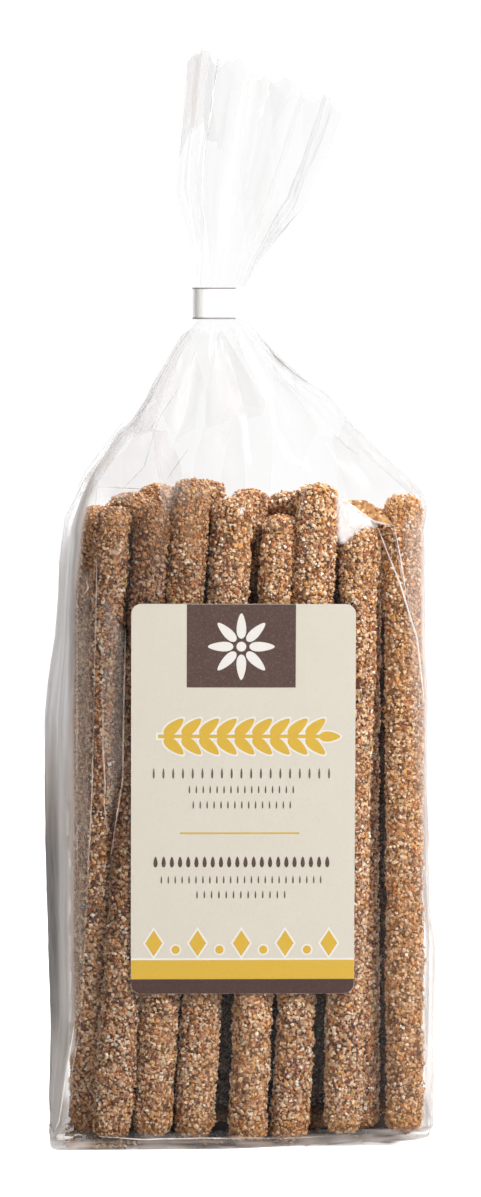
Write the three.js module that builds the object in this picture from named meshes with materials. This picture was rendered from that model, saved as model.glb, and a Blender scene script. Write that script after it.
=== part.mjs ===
// A clear film bag of breadsticks, standing on its folded base. The sticks fill a flat block in three rows,
// the film is drawn in above them, gathered in a white clip band, and fans out again over it.
// Millimetres, +Z up, +X to the right and the labelled front towards -Y.
// The origin is the middle of the footprint.
import * as THREE from "three";

// The sticks: eight in a row, three rows deep, with a coating of coarse grain.
// Only the outer rows shape the bag.
const stickRadius = 6.2;
const rowPitch = 12;
const frontRow = {
  topX: [-39.4, -27.2, -15.4, -2.3, 10.6, 23.4, 35.8, 49.4],
  footX: [-46.9, -40, -27.5, -14.6, 2.4, 15.2, 31, 50.2],
  topZ: [196.5, 197.5, 205, 199.5, 194, 203.5, 191, 200],
};
const backRow = {
  topX: [-47.6, -36.4, -25.6, -11.5, 3, 17.5, 32, 47],
  footX: [-47.2, -34.4, -21.8, -9.2, 3.6, 16.8, 31.4, 46.8],
  topZ: [168, 198, 202.5, 197, 201, 196, 188, 195],
};

// The film: where it stands clear of the sticks, how far it sags between them, and the round of its edges.
const filmGap = 0.7;
const sagBetweenSticks = 2.8;
const sideFold = 1.2;
const shoulderFoldIn = 0.42;
const cornerRadius = 4;
const baseRound = 2.5;
const baseSpread = 2.2;
const baseSpreadHeight = 12;

// The film lies on the sticks over the wide faces, from above the base up, and hangs free near the sides.
const faceFrom = 0.5;
const faceFull = 0.66;
const freeAtSide = 9;
const freeAtCorner = 2;
const drapeStartZ = 3;
const drapeFullZ = 14;
const sideFoldFullZ = 40;

// Heights of the bag: where the shoulders start, the clip band, and the ragged top of the fan.
const shoulderZ = 187;
const drapeEndZ = 205;
const clearZ = 212;
const roundedZ = 245;
const neckLowZ = 253.5;
const neckHighZ = 264.5;
const fanTopLeftZ = 338;
const fanTopRightZ = 322;

// Edges of the film seen from the front, and half its depth, as [height, distance] pairs.
const leftEdge = [
  [0, -58.8], [45, -58.9], [70, -59], [106, -60.2], [131, -60.2], [143, -59], [155, -57.4], [180, -55.8],
  [192, -54.4], [204, -49.2], [210, -45.2], [217, -40.4], [223, -34.8], [229, -30.4], [235, -26.6],
  [247, -18.4], [neckLowZ, -13.1], [neckHighZ, -13.1], [276, -13.4], [296, -17.6], [317, -16],
  [fanTopLeftZ, -14],
];
const rightEdge = [
  [0, 58.6], [45, 59.2], [95, 59.2], [131, 58.4], [180, 58.2], [199, 57.4], [206, 51.4], [220, 38],
  [233, 24.6], [246, 9.8], [neckLowZ, 1.3], [neckHighZ, 1.3], [275, 5.6], [287, 12.6], [298, 18.6],
  [fanTopLeftZ, 29],
];
const halfDepth = [
  [0, 20.4], [12, 19.6], [40, 19.3], [194, 19.3], [206, 17.6], [220, 13.6], [234, 9.2], [246, 5.2],
  [neckLowZ, 2.7], [neckHighZ, 2.7], [278, 5.4], [296, 8.4], [fanTopLeftZ, 11],
];

// How far the front folds of the sides stand inside the edges, as [height, distance] pairs.
const leftFrontIn = [
  [0, 0.6], [3, 1.2], [8, 3.2], [23, 4.8], [38, 6.4], [140, 6.8], [165, 4.6], [185, 4], [205, 2], [215, 0],
];
const rightFrontIn = [[0, 1], [8, 2.6], [40, 3.4], [170, 3], [190, 2], [202, 0]];

// The front edge of the folded base, as [across, depth] pairs, and the height where the fold ends.
const baseFront = [[-60, 21], [-6, 21], [16, 19.9], [34, 19.2], [47.5, 16.6], [52.6, 13.4], [58.4, 5], [59.5, 4]];
const baseFoldFromZ = 0.5;
const baseFoldEndZ = 7;

// Gathers: folds round the bag, how deep they are against the depth of the film,
// how much of that goes across, and how far they drift sideways.
const shoulderFolds = 13;
const fanFolds = 9;
const shoulderFoldDepth = 0.16;
const fanFoldDepth = 0.3;
const shoulderFoldAcross = 0.2;
const fanFoldAcross = 0.35;
const foldDrift = 0.35;
const foldStart = 1.3;
const foldsFromZ = 195;
const foldsFullZ = 230;
const fanFoldsFullZ = 288;
const fanTopNotch = 4.5;
const notchStart = 0.3;

// The clip band is a stiff strip bent round the neck, its two ends pressed together in a short tail.
const band = { width: 16.8, depth: 7.6, wall: 0.6, height: 9.2, tail: 4.6, tailThick: 1.3, leftX: -14.6 };
const bandZ = 254.4;

// The label is stuck to the film over the middle of the front row. Its tilt is in degrees.
const label = {
  width: 68.4, height: 119.6, corner: 3.1, thick: 0.4, leftX: -34.3, lowZ: 48.2, gap: 0.3, tilt: 0.2,
};

// Places on one ring round the bag, and the heights of the rings.
const columns = 148;
const levels = [
  0, 0.8, 2.5, 9, 16, 60, 106, 131, 155, 183, 189, 193, 197, 201, 205, 210, 216, 222, 228, 234, 240, 246, 250,
  neckLowZ, neckHighZ, 268, 274, 281, 289, 298, 311, 324, fanTopLeftZ,
];

const { clamp, lerp, degToRad } = THREE.MathUtils;
const smooth = (value, low, high) => THREE.MathUtils.smoothstep(value, low, high);

// Follows a list of [place, distance] pairs in straight runs.
function follow(pairs, at) {
  const last = pairs.length - 1;
  if (at <= pairs[0][0]) return pairs[0][1];
  if (at >= pairs[last][0]) return pairs[last][1];
  const next = pairs.findIndex(([place]) => place > at);
  const [from, fromDistance] = pairs[next - 1];
  const [to, toDistance] = pairs[next];
  return lerp(fromDistance, toDistance, (at - from) / (to - from));
}

// A zigzag between -1 and 1 that repeats once for each whole number.
function zigzag(turns) {
  const part = turns - Math.floor(turns);
  return 4 * Math.abs(part - 0.5) - 1;
}

// How far a row of sticks pushes the film out from the middle of the bag, at one place on a face.
function stickReach(row, x, z) {
  const reach = stickRadius + filmGap;
  let furthest = 0;
  row.topX.forEach((topX, i) => {
    const lean = clamp(z / row.topZ[i], 0, 1);
    const across = x - lerp(row.footX[i], topX, lean);
    const above = Math.max(0, z - (row.topZ[i] + filmGap - reach));
    const off = Math.hypot(across, above);
    if (off < reach) furthest = Math.max(furthest, rowPitch + Math.sqrt(reach * reach - off * off));
  });
  return furthest;
}

// One place on a rectangle's edge, going round once from the middle of its right side.
function rectangleEdge(share, wide, deep) {
  let along = (share - Math.floor(share)) * 4 * (wide + deep);
  const corners = [[wide, deep], [-wide, deep], [-wide, -deep], [wide, -deep], [wide, deep]];
  let [x, y] = [wide, 0];
  for (const [nextX, nextY] of corners) {
    const length = Math.abs(nextX - x) + Math.abs(nextY - y);
    if (along <= length) {
      const part = along / length;
      return [x + (nextX - x) * part, y + (nextY - y) * part];
    }
    along -= length;
    [x, y] = [nextX, nextY];
  }
  return [wide, 0];
}

// The block of sticks: a rounded rectangle whose faces drape over the outer rows and whose sides fold in.
function blockPoint(share, level, wide, deep, middle) {
  const spread = baseSpread * Math.max(0, 1 - level / baseSpreadHeight) ** 2;
  const tall = deep + spread;
  const [edgeX, edgeY] = rectangleEdge(share, rightEdge[0][1], halfDepth[2][1]);
  const squareX = (edgeX / rightEdge[0][1]) * wide;
  const squareY = (edgeY / halfDepth[2][1]) * tall;
  const round = Math.min(cornerRadius, deep * 0.9);
  const innerX = clamp(squareX, round - wide, wide - round);
  const innerY = clamp(squareY, round - tall, tall - round);
  const outward = Math.hypot(squareX - innerX, squareY - innerY) || 1;
  let x = innerX + ((squareX - innerX) / outward) * round;
  let y = innerY + ((squareY - innerY) / outward) * round;

  // The front is narrower than the back.
  const frontIn = follow(x < 0 ? leftFrontIn : rightFrontIn, level);
  x *= 1 - (frontIn / wide) * clamp(0.5 - y / tall / 2, 0, 1);

  const row = y < 0 ? frontRow : backRow;
  const nearSide = wide - (y < 0 ? frontIn : 0);
  const inFace = smooth(Math.abs(innerY) / deep, faceFrom, faceFull);
  const onFace = inFace * (1 - smooth(Math.abs(x), nearSide - freeAtSide, nearSide - freeAtCorner));
  const draped = smooth(level, drapeStartZ, drapeFullZ) * (1 - smooth(level, drapeEndZ, clearZ));
  const held = Math.max(Math.abs(y) - sagBetweenSticks, stickReach(row, x + middle, level));
  y = lerp(y, Math.sign(y) * held, onFace * draped);

  const onSide = (1 - smooth(Math.abs(y) / deep, 0, 0.8)) * smooth(Math.abs(x) / wide, 0.8, 1);
  const inShoulder = smooth(level, shoulderZ, roundedZ) * (1 - smooth(level, roundedZ, neckLowZ));
  const drawnIn = sideFold * smooth(level, drapeStartZ, sideFoldFullZ) + shoulderFoldIn * wide * inShoulder;
  if (level < neckLowZ) x -= Math.sign(x) * onSide * drawnIn;

  // The base's front right corner is folded under.
  const folded = 1 - smooth(level, baseFoldFromZ, baseFoldEndZ);
  if (y < 0) y *= lerp(1, Math.min(1, follow(baseFront, x + middle) / tall), folded);
  return [x, y];
}

// The bag's outer surface at one share of the way round and one level.
function bagPoint(share, level) {
  const left = follow(leftEdge, level);
  const right = follow(rightEdge, level);
  const deep = follow(halfDepth, level);
  const wide = (right - left) / 2;
  const middle = (right + left) / 2;
  let [x, y] = blockPoint(share, level, wide, deep, middle);

  // Above the sticks the section turns into the oval bunch of the neck.
  const bunched = smooth(level, shoulderZ, roundedZ);
  const angle = 2 * Math.PI * share;
  x = lerp(x, wide * Math.cos(angle), bunched);
  y = lerp(y, deep * Math.sin(angle), bunched);

  // Folds run from the neck down the shoulders and up the fan.
  const inShoulder = smooth(level, foldsFromZ, foldsFullZ) * (1 - smooth(level, roundedZ, neckLowZ));
  const inFan = smooth(level, neckHighZ, fanFoldsFullZ);
  const drift = foldDrift * Math.sin(angle * 2 + foldStart);
  const fold = shoulderFoldDepth * inShoulder * zigzag(share * shoulderFolds + drift)
    + fanFoldDepth * inFan * zigzag(share * fanFolds + drift);
  x *= 1 + fold * (inFan > 0 ? fanFoldAcross : shoulderFoldAcross);
  y *= 1 + fold;

  // The top of the fan slopes down to the right and is cut in notches.
  const across = clamp((x + wide) / (2 * wide), 0, 1);
  const notch = fanTopNotch * (0.5 + 0.5 * zigzag(share * fanFolds + notchStart));
  const top = lerp(fanTopLeftZ, fanTopRightZ, across) - notch;
  const stretch = (top - neckHighZ) / (fanTopLeftZ - neckHighZ);
  const z = level > neckHighZ ? neckHighZ + (level - neckHighZ) * stretch : level;

  // The foot turns under the block.
  const tuck = level < baseRound ? baseRound * (1 - Math.sqrt(1 - (1 - level / baseRound) ** 2)) : 0;
  x -= Math.sign(x) * Math.min(tuck, Math.abs(x));
  y -= Math.sign(y) * Math.min(tuck, Math.abs(y));
  return [x + middle, y, z];
}

// Closes a stack of rings with a flat base and a cap over the top ring.
function bagGeometry() {
  const places = [];
  const faces = [];
  for (const level of levels)
    for (let column = 0; column < columns; column += 1) places.push(...bagPoint(column / columns, level));
  for (let ring = 0; ring < levels.length - 1; ring += 1)
    for (let column = 0; column < columns; column += 1) {
      const next = (column + 1) % columns;
      const low = ring * columns;
      const high = low + columns;
      faces.push(low + column, low + next, high + next);
      faces.push(low + column, high + next, high + column);
    }
  const baseMiddle = places.length / 3;
  const topMiddle = baseMiddle + 1;
  const topRing = (levels.length - 1) * columns;
  const fanMiddle = (follow(leftEdge, fanTopLeftZ) + follow(rightEdge, fanTopLeftZ)) / 2;
  places.push(0, 0, 0);
  places.push(fanMiddle, 0, (fanTopLeftZ + fanTopRightZ) / 2 - 2 * fanTopNotch);
  for (let column = 0; column < columns; column += 1) {
    const next = (column + 1) % columns;
    faces.push(baseMiddle, next, column);
    faces.push(topMiddle, topRing + column, topRing + next);
  }
  const geometry = new THREE.BufferGeometry();
  geometry.setAttribute("position", new THREE.Float32BufferAttribute(places, 3));
  geometry.setIndex(faces);
  geometry.computeVertexNormals();
  return geometry;
}

// A flat band with round ends, hollow for the neck, and its tail to the right.
function bandGeometry() {
  const outline = new THREE.Shape();
  const radius = band.depth / 2;
  const half = band.width / 2 - radius;
  const tailEnd = band.width / 2 + band.tail;
  const tailStart = half + Math.sqrt(radius ** 2 - (band.tailThick / 2) ** 2);
  const tailAngle = Math.asin(band.tailThick / 2 / radius);
  outline.moveTo(-half, -radius);
  outline.lineTo(half, -radius);
  outline.absarc(half, 0, radius, -Math.PI / 2, -tailAngle, false);
  outline.lineTo(tailStart, -band.tailThick / 2);
  outline.lineTo(tailEnd, -band.tailThick / 2);
  outline.lineTo(tailEnd, band.tailThick / 2);
  outline.lineTo(tailStart, band.tailThick / 2);
  outline.absarc(half, 0, radius, tailAngle, Math.PI / 2, false);
  outline.lineTo(-half, radius);
  outline.absarc(-half, 0, radius, Math.PI / 2, 1.5 * Math.PI, false);
  const hollow = new THREE.Path();
  const inner = radius - band.wall;
  hollow.moveTo(half, -inner);
  hollow.lineTo(-half, -inner);
  hollow.absarc(-half, 0, inner, -Math.PI / 2, -1.5 * Math.PI, true);
  hollow.lineTo(half, inner);
  hollow.absarc(half, 0, inner, Math.PI / 2, -Math.PI / 2, true);
  outline.holes.push(hollow);
  return new THREE.ExtrudeGeometry(outline, { depth: band.height, bevelEnabled: false, curveSegments: 10 });
}

// A sheet with round corners, standing in the XZ plane and thick along Y.
function labelGeometry() {
  const { width, height, corner, thick } = label;
  const outline = new THREE.Shape();
  outline.absarc(corner, corner, corner, Math.PI, 1.5 * Math.PI, false);
  outline.absarc(width - corner, corner, corner, 1.5 * Math.PI, 2 * Math.PI, false);
  outline.absarc(width - corner, height - corner, corner, 0, Math.PI / 2, false);
  outline.absarc(corner, height - corner, corner, Math.PI / 2, Math.PI, false);
  const sheet = new THREE.ExtrudeGeometry(outline, { depth: thick, bevelEnabled: false, curveSegments: 6 });
  sheet.rotateX(Math.PI / 2);
  return sheet;
}

const filmLook = new THREE.MeshStandardMaterial({ color: 0xb78f62, roughness: 0.35, metalness: 0 });
const paperLook = new THREE.MeshStandardMaterial({ color: 0xe9e2cf, roughness: 0.7, metalness: 0 });
const bandLook = new THREE.MeshStandardMaterial({ color: 0xf6f5f2, roughness: 0.5, metalness: 0 });

const bagMesh = new THREE.Mesh(bagGeometry(), filmLook);
bagMesh.name = "bag";

const bandMesh = new THREE.Mesh(bandGeometry(), bandLook);
bandMesh.name = "clip_band";
bandMesh.position.set(band.leftX + band.width / 2, 0, bandZ);

const labelMesh = new THREE.Mesh(labelGeometry(), paperLook);
labelMesh.name = "label";
const faceY = -(rowPitch + stickRadius + filmGap);
labelMesh.position.set(label.leftX, faceY - label.gap, label.lowZ);
labelMesh.rotation.y = degToRad(label.tilt);

const pack = new THREE.Group();
pack.add(bagMesh, bandMesh, labelMesh);
const bounds = new THREE.Box3().setFromObject(pack);
const centre = bounds.getCenter(new THREE.Vector3());
pack.position.set(-centre.x, -centre.y, -bounds.min.z);

export default pack;
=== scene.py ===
import math

import bmesh
import bpy
import numpy as np
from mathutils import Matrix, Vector


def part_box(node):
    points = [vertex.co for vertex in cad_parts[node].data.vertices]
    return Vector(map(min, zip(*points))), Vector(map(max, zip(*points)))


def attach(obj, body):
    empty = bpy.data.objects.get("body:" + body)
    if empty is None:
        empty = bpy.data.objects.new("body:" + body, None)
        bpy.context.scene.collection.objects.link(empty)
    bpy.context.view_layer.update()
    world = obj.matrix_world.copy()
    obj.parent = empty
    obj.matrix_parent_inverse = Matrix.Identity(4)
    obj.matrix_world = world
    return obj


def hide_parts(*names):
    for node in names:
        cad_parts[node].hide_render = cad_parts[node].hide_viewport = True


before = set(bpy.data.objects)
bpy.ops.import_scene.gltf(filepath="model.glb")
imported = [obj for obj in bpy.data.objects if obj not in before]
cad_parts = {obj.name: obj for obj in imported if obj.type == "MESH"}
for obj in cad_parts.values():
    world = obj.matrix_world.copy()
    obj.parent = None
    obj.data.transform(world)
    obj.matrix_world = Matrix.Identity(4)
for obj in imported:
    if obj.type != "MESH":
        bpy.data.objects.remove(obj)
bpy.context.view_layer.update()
mm = 0.001

# The CAD group is centred on its footprint, so its own millimetres are shifted by what the clip band shows.
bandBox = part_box("clip_band")
bandLeft = -14.6
shift = np.array([bandBox[0].x / mm - bandLeft, (bandBox[0].y + bandBox[1].y) / 2 / mm, 0.0])


def tint(red, green, blue):
    # A colour given as it looks on a screen, 0 to 255, made linear.
    shares = (c / 255 for c in (red, green, blue))
    return tuple(((s + 0.055) / 1.055) ** 2.4 if s > 0.04 else s / 12.92 for s in shares) + (1,)


def smooth(value, low, high):
    part = np.clip((value - low) / (high - low), 0, 1)
    return part * part * (3 - 2 * part)


def zigzag(turns):
    return 4 * np.abs(turns - np.floor(turns) - 0.5) - 1


noiseCells = 32
noiseTable = np.random.default_rng(41).random((noiseCells,) * 3)


def lumps(places, size, seed=0.0):
    # Smooth bumps between -1 and 1, about size apart, at any array of places.
    scaled = places / size + seed * 7.31
    cell = np.floor(scaled).astype(int)
    part = scaled - cell
    part = part * part * (3 - 2 * part)
    total = np.zeros(places.shape[:-1])
    for corner in np.ndindex(2, 2, 2):
        weight = np.prod(np.where(corner, part, 1 - part), axis=-1)
        index = (cell + corner) % noiseCells
        total += weight * noiseTable[index[..., 0], index[..., 1], index[..., 2]]
    return total * 2 - 1


def ridges(places, size, seed=0.0):
    # Sharp crests where the bumps change sign, 1 on the crest.
    return 1 - 2 * np.abs(lumps(places, size, seed))


def addPiece(name, mesh, body="root", stands=()):
    piece = bpy.data.objects.new(name, mesh)
    bpy.context.scene.collection.objects.link(piece)
    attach(piece, body)
    if stands:
        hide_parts(*stands)
    return piece


def meshFrom(name, places, faces, material=None, smoothFaces=True):
    mesh = bpy.data.meshes.new(name)
    mesh.from_pydata(((np.asarray(places, float) + shift) * mm).tolist(), [], faces)
    if material:
        mesh.materials.append(material)
    mesh.polygons.foreach_set("use_smooth", [smoothFaces] * len(mesh.polygons))
    mesh.update()
    return mesh


def gridFaces(rings, columns, start=0, closed=True):
    # Quads of a stack of rings, pointing outwards where the rings run anticlockwise and upwards.
    faces = []
    for ring in range(rings - 1):
        for column in range(columns if closed else columns - 1):
            near = start + ring * columns + column
            far = start + ring * columns + (column + 1) % columns
            faces.append((near, far, far + columns, near + columns))
    return faces


# Camera, at the photograph's viewing angle: almost straight on, from a little above the middle of the bag.
cameraPlan = {"distance": 1.2, "azimuth": -2.0, "height": 0.250, "aim": 0.168, "lens": 117.0}


def addCamera():
    plan = cameraPlan
    turn = math.radians(plan["azimuth"])
    middle, away = Vector((shift[0] * mm, 0, 0)), plan["distance"]
    place = middle + Vector((math.sin(turn) * away, -math.cos(turn) * away, plan["height"]))
    aim = middle + Vector((0, 0, plan["aim"]))
    data = bpy.data.cameras.new("photoCamera")
    data.lens = plan["lens"]
    data.clip_start = 0.01
    camera = bpy.data.objects.new("photoCamera", data)
    camera.location = place
    camera.rotation_euler = (aim - place).to_track_quat("-Z", "Y").to_euler()
    bpy.context.scene.collection.objects.link(camera)
    bpy.context.scene.camera = camera


addCamera()
print("camera placed")


# Node helpers.
def startMaterial(name):
    material = bpy.data.materials.new(name)
    material.use_nodes = True
    return material, material.node_tree, material.node_tree.nodes["Principled BSDF"]


def addNode(tree, kind, values=None, **settings):
    node = tree.nodes.new(kind)
    for key, value in settings.items():
        setattr(node, key, value)
    for socket, value in (values or {}).items():
        node.inputs[socket].default_value = value
    return node


def attributeOf(tree, name):
    return addNode(tree, "ShaderNodeAttribute", attribute_name=name).outputs["Fac"]


def wire(tree, *pairs):
    for start, end in pairs:
        tree.links.new(start, end)


def math2(tree, operation, first, second, clamped=False):
    node = addNode(tree, "ShaderNodeMath", operation=operation, use_clamp=clamped)
    for socket, value in zip(node.inputs, (first, second)):
        if isinstance(value, (int, float)):
            socket.default_value = value
        else:
            tree.links.new(value, socket)
    return node.outputs[0]


def times(tree, first, second):
    return math2(tree, "MULTIPLY", first, second)


def plus(tree, first, second, clamped=False):
    return math2(tree, "ADD", first, second, clamped)


def minus(tree, first, second):
    return math2(tree, "SUBTRACT", first, second)


def mixColours(tree, factor, first, second, blend="MIX"):
    node = addNode(tree, "ShaderNodeMix", data_type="RGBA", blend_type=blend)
    for socket, value in zip((node.inputs[0], node.inputs[6], node.inputs[7]), (factor, first, second)):
        if isinstance(value, (int, float, tuple)):
            socket.default_value = value
        else:
            tree.links.new(value, socket)
    return node.outputs[2]


def ramp(tree, factor, stops):
    node = addNode(tree, "ShaderNodeValToRGB")
    elements = node.color_ramp.elements
    while len(elements) < len(stops):
        elements.new(0.5)
    for element, (place, colour) in zip(elements, stops):
        element.position = place
        element.color = colour
    tree.links.new(factor, node.inputs[0])
    return node.outputs[0]


def maskRamp(tree, factor, low, high):
    node = addNode(tree, "ShaderNodeMapRange", {"From Min": low, "From Max": high})
    tree.links.new(factor, node.inputs["Value"])
    return node.outputs[0]


def setColour(tree, shader, colour, roughness):
    # The colour is either plain or comes from nodes.
    if isinstance(colour, tuple):
        shader.inputs["Base Color"].default_value = colour
    else:
        tree.links.new(colour, shader.inputs["Base Color"])
    shader.inputs["Roughness"].default_value = roughness


def addBump(tree, shader, height, strength, distance):
    bump = addNode(tree, "ShaderNodeBump", {"Strength": strength, "Distance": distance})
    wire(tree, (height, bump.inputs["Height"]), (bump.outputs[0], shader.inputs["Normal"]))
    return bump.outputs[0]


def withoutShadow(tree, alpha):
    # Film lets the light through, so it casts no shadow.
    path = addNode(tree, "ShaderNodeLightPath")
    return times(tree, alpha, minus(tree, 1.0, path.outputs["Is Shadow Ray"]))


def startGroup(name, inputs, outputs):
    group = bpy.data.node_groups.new(name, "ShaderNodeTree")
    for label, kind, value in inputs:
        socket = group.interface.new_socket(label, in_out="INPUT", socket_type=kind)
        if value is not None:
            socket.default_value = value
    for label, kind in outputs:
        group.interface.new_socket(label, in_out="OUTPUT", socket_type=kind)
    return group, group.nodes.new("NodeGroupInput"), group.nodes.new("NodeGroupOutput")


def useGroup(tree, group, values=None):
    node = addNode(tree, "ShaderNodeGroup", values, node_tree=group)
    coordinates = addNode(tree, "ShaderNodeTexCoord")
    tree.links.new(coordinates.outputs["Object"], node.inputs["Place"])
    return node


def ovenTone():
    # Turns a colour towards golden brown by how far the oven toasted the place.
    group, given, out = startGroup(
        "ovenTone",
        [("Place", "NodeSocketVector", None), ("Colour", "NodeSocketColor", None),
         ("Golden", "NodeSocketColor", None), ("Toast", "NodeSocketFloat", 0.0),
         ("Patch Size", "NodeSocketFloat", 70.0)],
        [("Colour", "NodeSocketColor")],
    )
    patches = addNode(group, "ShaderNodeTexNoise", {"Detail": 2.0})
    wire(group, (given.outputs["Place"], patches.inputs["Vector"]),
         (given.outputs["Patch Size"], patches.inputs["Scale"]))
    patchy = times(group, maskRamp(group, patches.outputs["Fac"], 0.45, 0.70), 0.3)
    amount = plus(group, given.outputs["Toast"], patchy, True)
    glow = mixColours(group, 0.5, given.outputs["Colour"], given.outputs["Golden"], "MULTIPLY")
    golden = mixColours(group, 0.45, glow, given.outputs["Golden"])
    wire(group, (mixColours(group, amount, given.outputs["Colour"], golden), out.inputs["Colour"]))
    return group


def crumbRelief():
    # Packed fine meal: a cell pattern with one random tone for each cell, and the height between cells.
    group, given, out = startGroup(
        "crumbRelief",
        [("Place", "NodeSocketVector", None), ("Scale", "NodeSocketFloat", 900.0)],
        [("Tone", "NodeSocketFloat"), ("Height", "NodeSocketFloat")],
    )
    cells = addNode(group, "ShaderNodeTexVoronoi", {"Randomness": 1.0}, feature="F1")
    wire(group, (given.outputs["Place"], cells.inputs["Vector"]),
         (given.outputs["Scale"], cells.inputs["Scale"]))
    split = addNode(group, "ShaderNodeSeparateColor")
    wire(group, (cells.outputs["Color"], split.inputs[0]), (split.outputs[0], out.inputs["Tone"]),
         (minus(group, 1.0, cells.outputs["Distance"]), out.inputs["Height"]))
    return group


def paperFibre():
    # Uncoated paper: short fibres that take the ink unevenly.
    group, given, out = startGroup(
        "paperFibre",
        [("Place", "NodeSocketVector", None), ("Scale", "NodeSocketFloat", 1500.0)],
        [("Specks", "NodeSocketFloat"), ("Cloud", "NodeSocketFloat"), ("Height", "NodeSocketFloat")],
    )
    fine = addNode(group, "ShaderNodeTexNoise", {"Detail": 4.0, "Roughness": 0.7})
    broad = addNode(group, "ShaderNodeTexNoise", {"Scale": 160.0, "Detail": 3.0})
    wire(group, (given.outputs["Place"], fine.inputs["Vector"]),
         (given.outputs["Scale"], fine.inputs["Scale"]),
         (given.outputs["Place"], broad.inputs["Vector"]),
         (maskRamp(group, fine.outputs["Fac"], 0.50, 0.72), out.inputs["Specks"]),
         (broad.outputs["Fac"], out.inputs["Cloud"]), (fine.outputs["Fac"], out.inputs["Height"]))
    return group


def filmCrinkle():
    # Fine crackle of stiff film, upright smears, and angular patches that carry painted reflection.
    group, given, out = startGroup(
        "filmCrinkle",
        [("Place", "NodeSocketVector", None), ("Size", "NodeSocketFloat", 1.0)],
        [("Height", "NodeSocketFloat"), ("Haze", "NodeSocketFloat"), ("Facet", "NodeSocketFloat")],
    )
    stretch = addNode(group, "ShaderNodeMapping", {"Scale": (1.0, 1.0, 0.22)})
    upright = addNode(group, "ShaderNodeTexNoise", {"Scale": 120.0, "Detail": 2.0, "Distortion": 0.5})
    smears = addNode(group, "ShaderNodeTexNoise", {"Scale": 60.0, "Detail": 3.0, "Distortion": 1.2})
    facets = addNode(group, "ShaderNodeTexVoronoi", {"Scale": 85.0, "Randomness": 1.0}, feature="F1")
    split = addNode(group, "ShaderNodeSeparateColor")
    sized = addNode(group, "ShaderNodeVectorMath", operation="SCALE")
    wire(group, (given.outputs["Place"], sized.inputs[0]), (given.outputs["Size"], sized.inputs["Scale"]),
         (sized.outputs[0], stretch.inputs["Vector"]), (stretch.outputs[0], upright.inputs["Vector"]),
         (stretch.outputs[0], smears.inputs["Vector"]), (stretch.outputs[0], facets.inputs["Vector"]),
         (facets.outputs["Color"], split.inputs[0]),
         (upright.outputs["Fac"], out.inputs["Height"]),
         (maskRamp(group, smears.outputs["Fac"], 0.42, 0.72), out.inputs["Haze"]),
         (maskRamp(group, split.outputs[0], 0.25, 0.95), out.inputs["Facet"]))
    return group


ovenToneGroup = ovenTone()
crumbReliefGroup = crumbRelief()
paperFibreGroup = paperFibre()
filmCrinkleGroup = filmCrinkle()


golden = tint(238, 182, 112)
# The tone that bran darkens a coat towards, which also serves as painted shade.
branAndShadeTone = tint(122, 92, 72)
# Painted shade for the sticks deep in the bundle.
paintedShadeTone = tint(66, 44, 32)


def toastedAndShadedColour(tree, colour):
    # Browns a colour where the oven toasted it, then darkens it by its bran, by painted shade on the darker
    # sticks, and by painted shade deep in the bundle.
    oven = useGroup(tree, ovenToneGroup, {"Golden": golden})
    wire(tree, (colour, oven.inputs["Colour"]), (attributeOf(tree, "toast"), oven.inputs["Toast"]))
    baked = mixColours(tree, attributeOf(tree, "dark"), oven.outputs["Colour"], branAndShadeTone, "MULTIPLY")
    return mixColours(tree, attributeOf(tree, "buried"), baked, paintedShadeTone, "MULTIPLY")


def crustFinish():
    material, tree, shader = startMaterial("bakedCrust")
    crumbs = useGroup(tree, crumbReliefGroup, {"Scale": 1250.0})
    # The crust's own baked brown, kept dark where it shows between the grains, which is partly painted shade.
    colour = ramp(tree, crumbs.outputs["Tone"], [
        (0.0, tint(62, 32, 20)), (0.35, tint(118, 74, 48)),
        (0.7, tint(186, 140, 104)), (1.0, tint(236, 204, 168)),
    ])
    addBump(tree, shader, crumbs.outputs["Height"], 0.9, 0.0006)
    setColour(tree, shader, toastedAndShadedColour(tree, colour), 0.75)
    return material


def grainFinish(name, stops, roughness):
    # One kind of grain: each grain has its own tone from the attribute shade.
    material, tree, shader = startMaterial(name)
    crumbs = useGroup(tree, crumbReliefGroup, {"Scale": 2600.0})
    colour = toastedAndShadedColour(tree, ramp(tree, attributeOf(tree, "shade"), stops))
    specks = times(tree, crumbs.outputs["Tone"], 0.22)
    speckled = mixColours(tree, specks, colour, tint(120, 78, 48))
    addBump(tree, shader, crumbs.outputs["Height"], 0.4, 0.0002)
    setColour(tree, shader, speckled, roughness)
    return material
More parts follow.
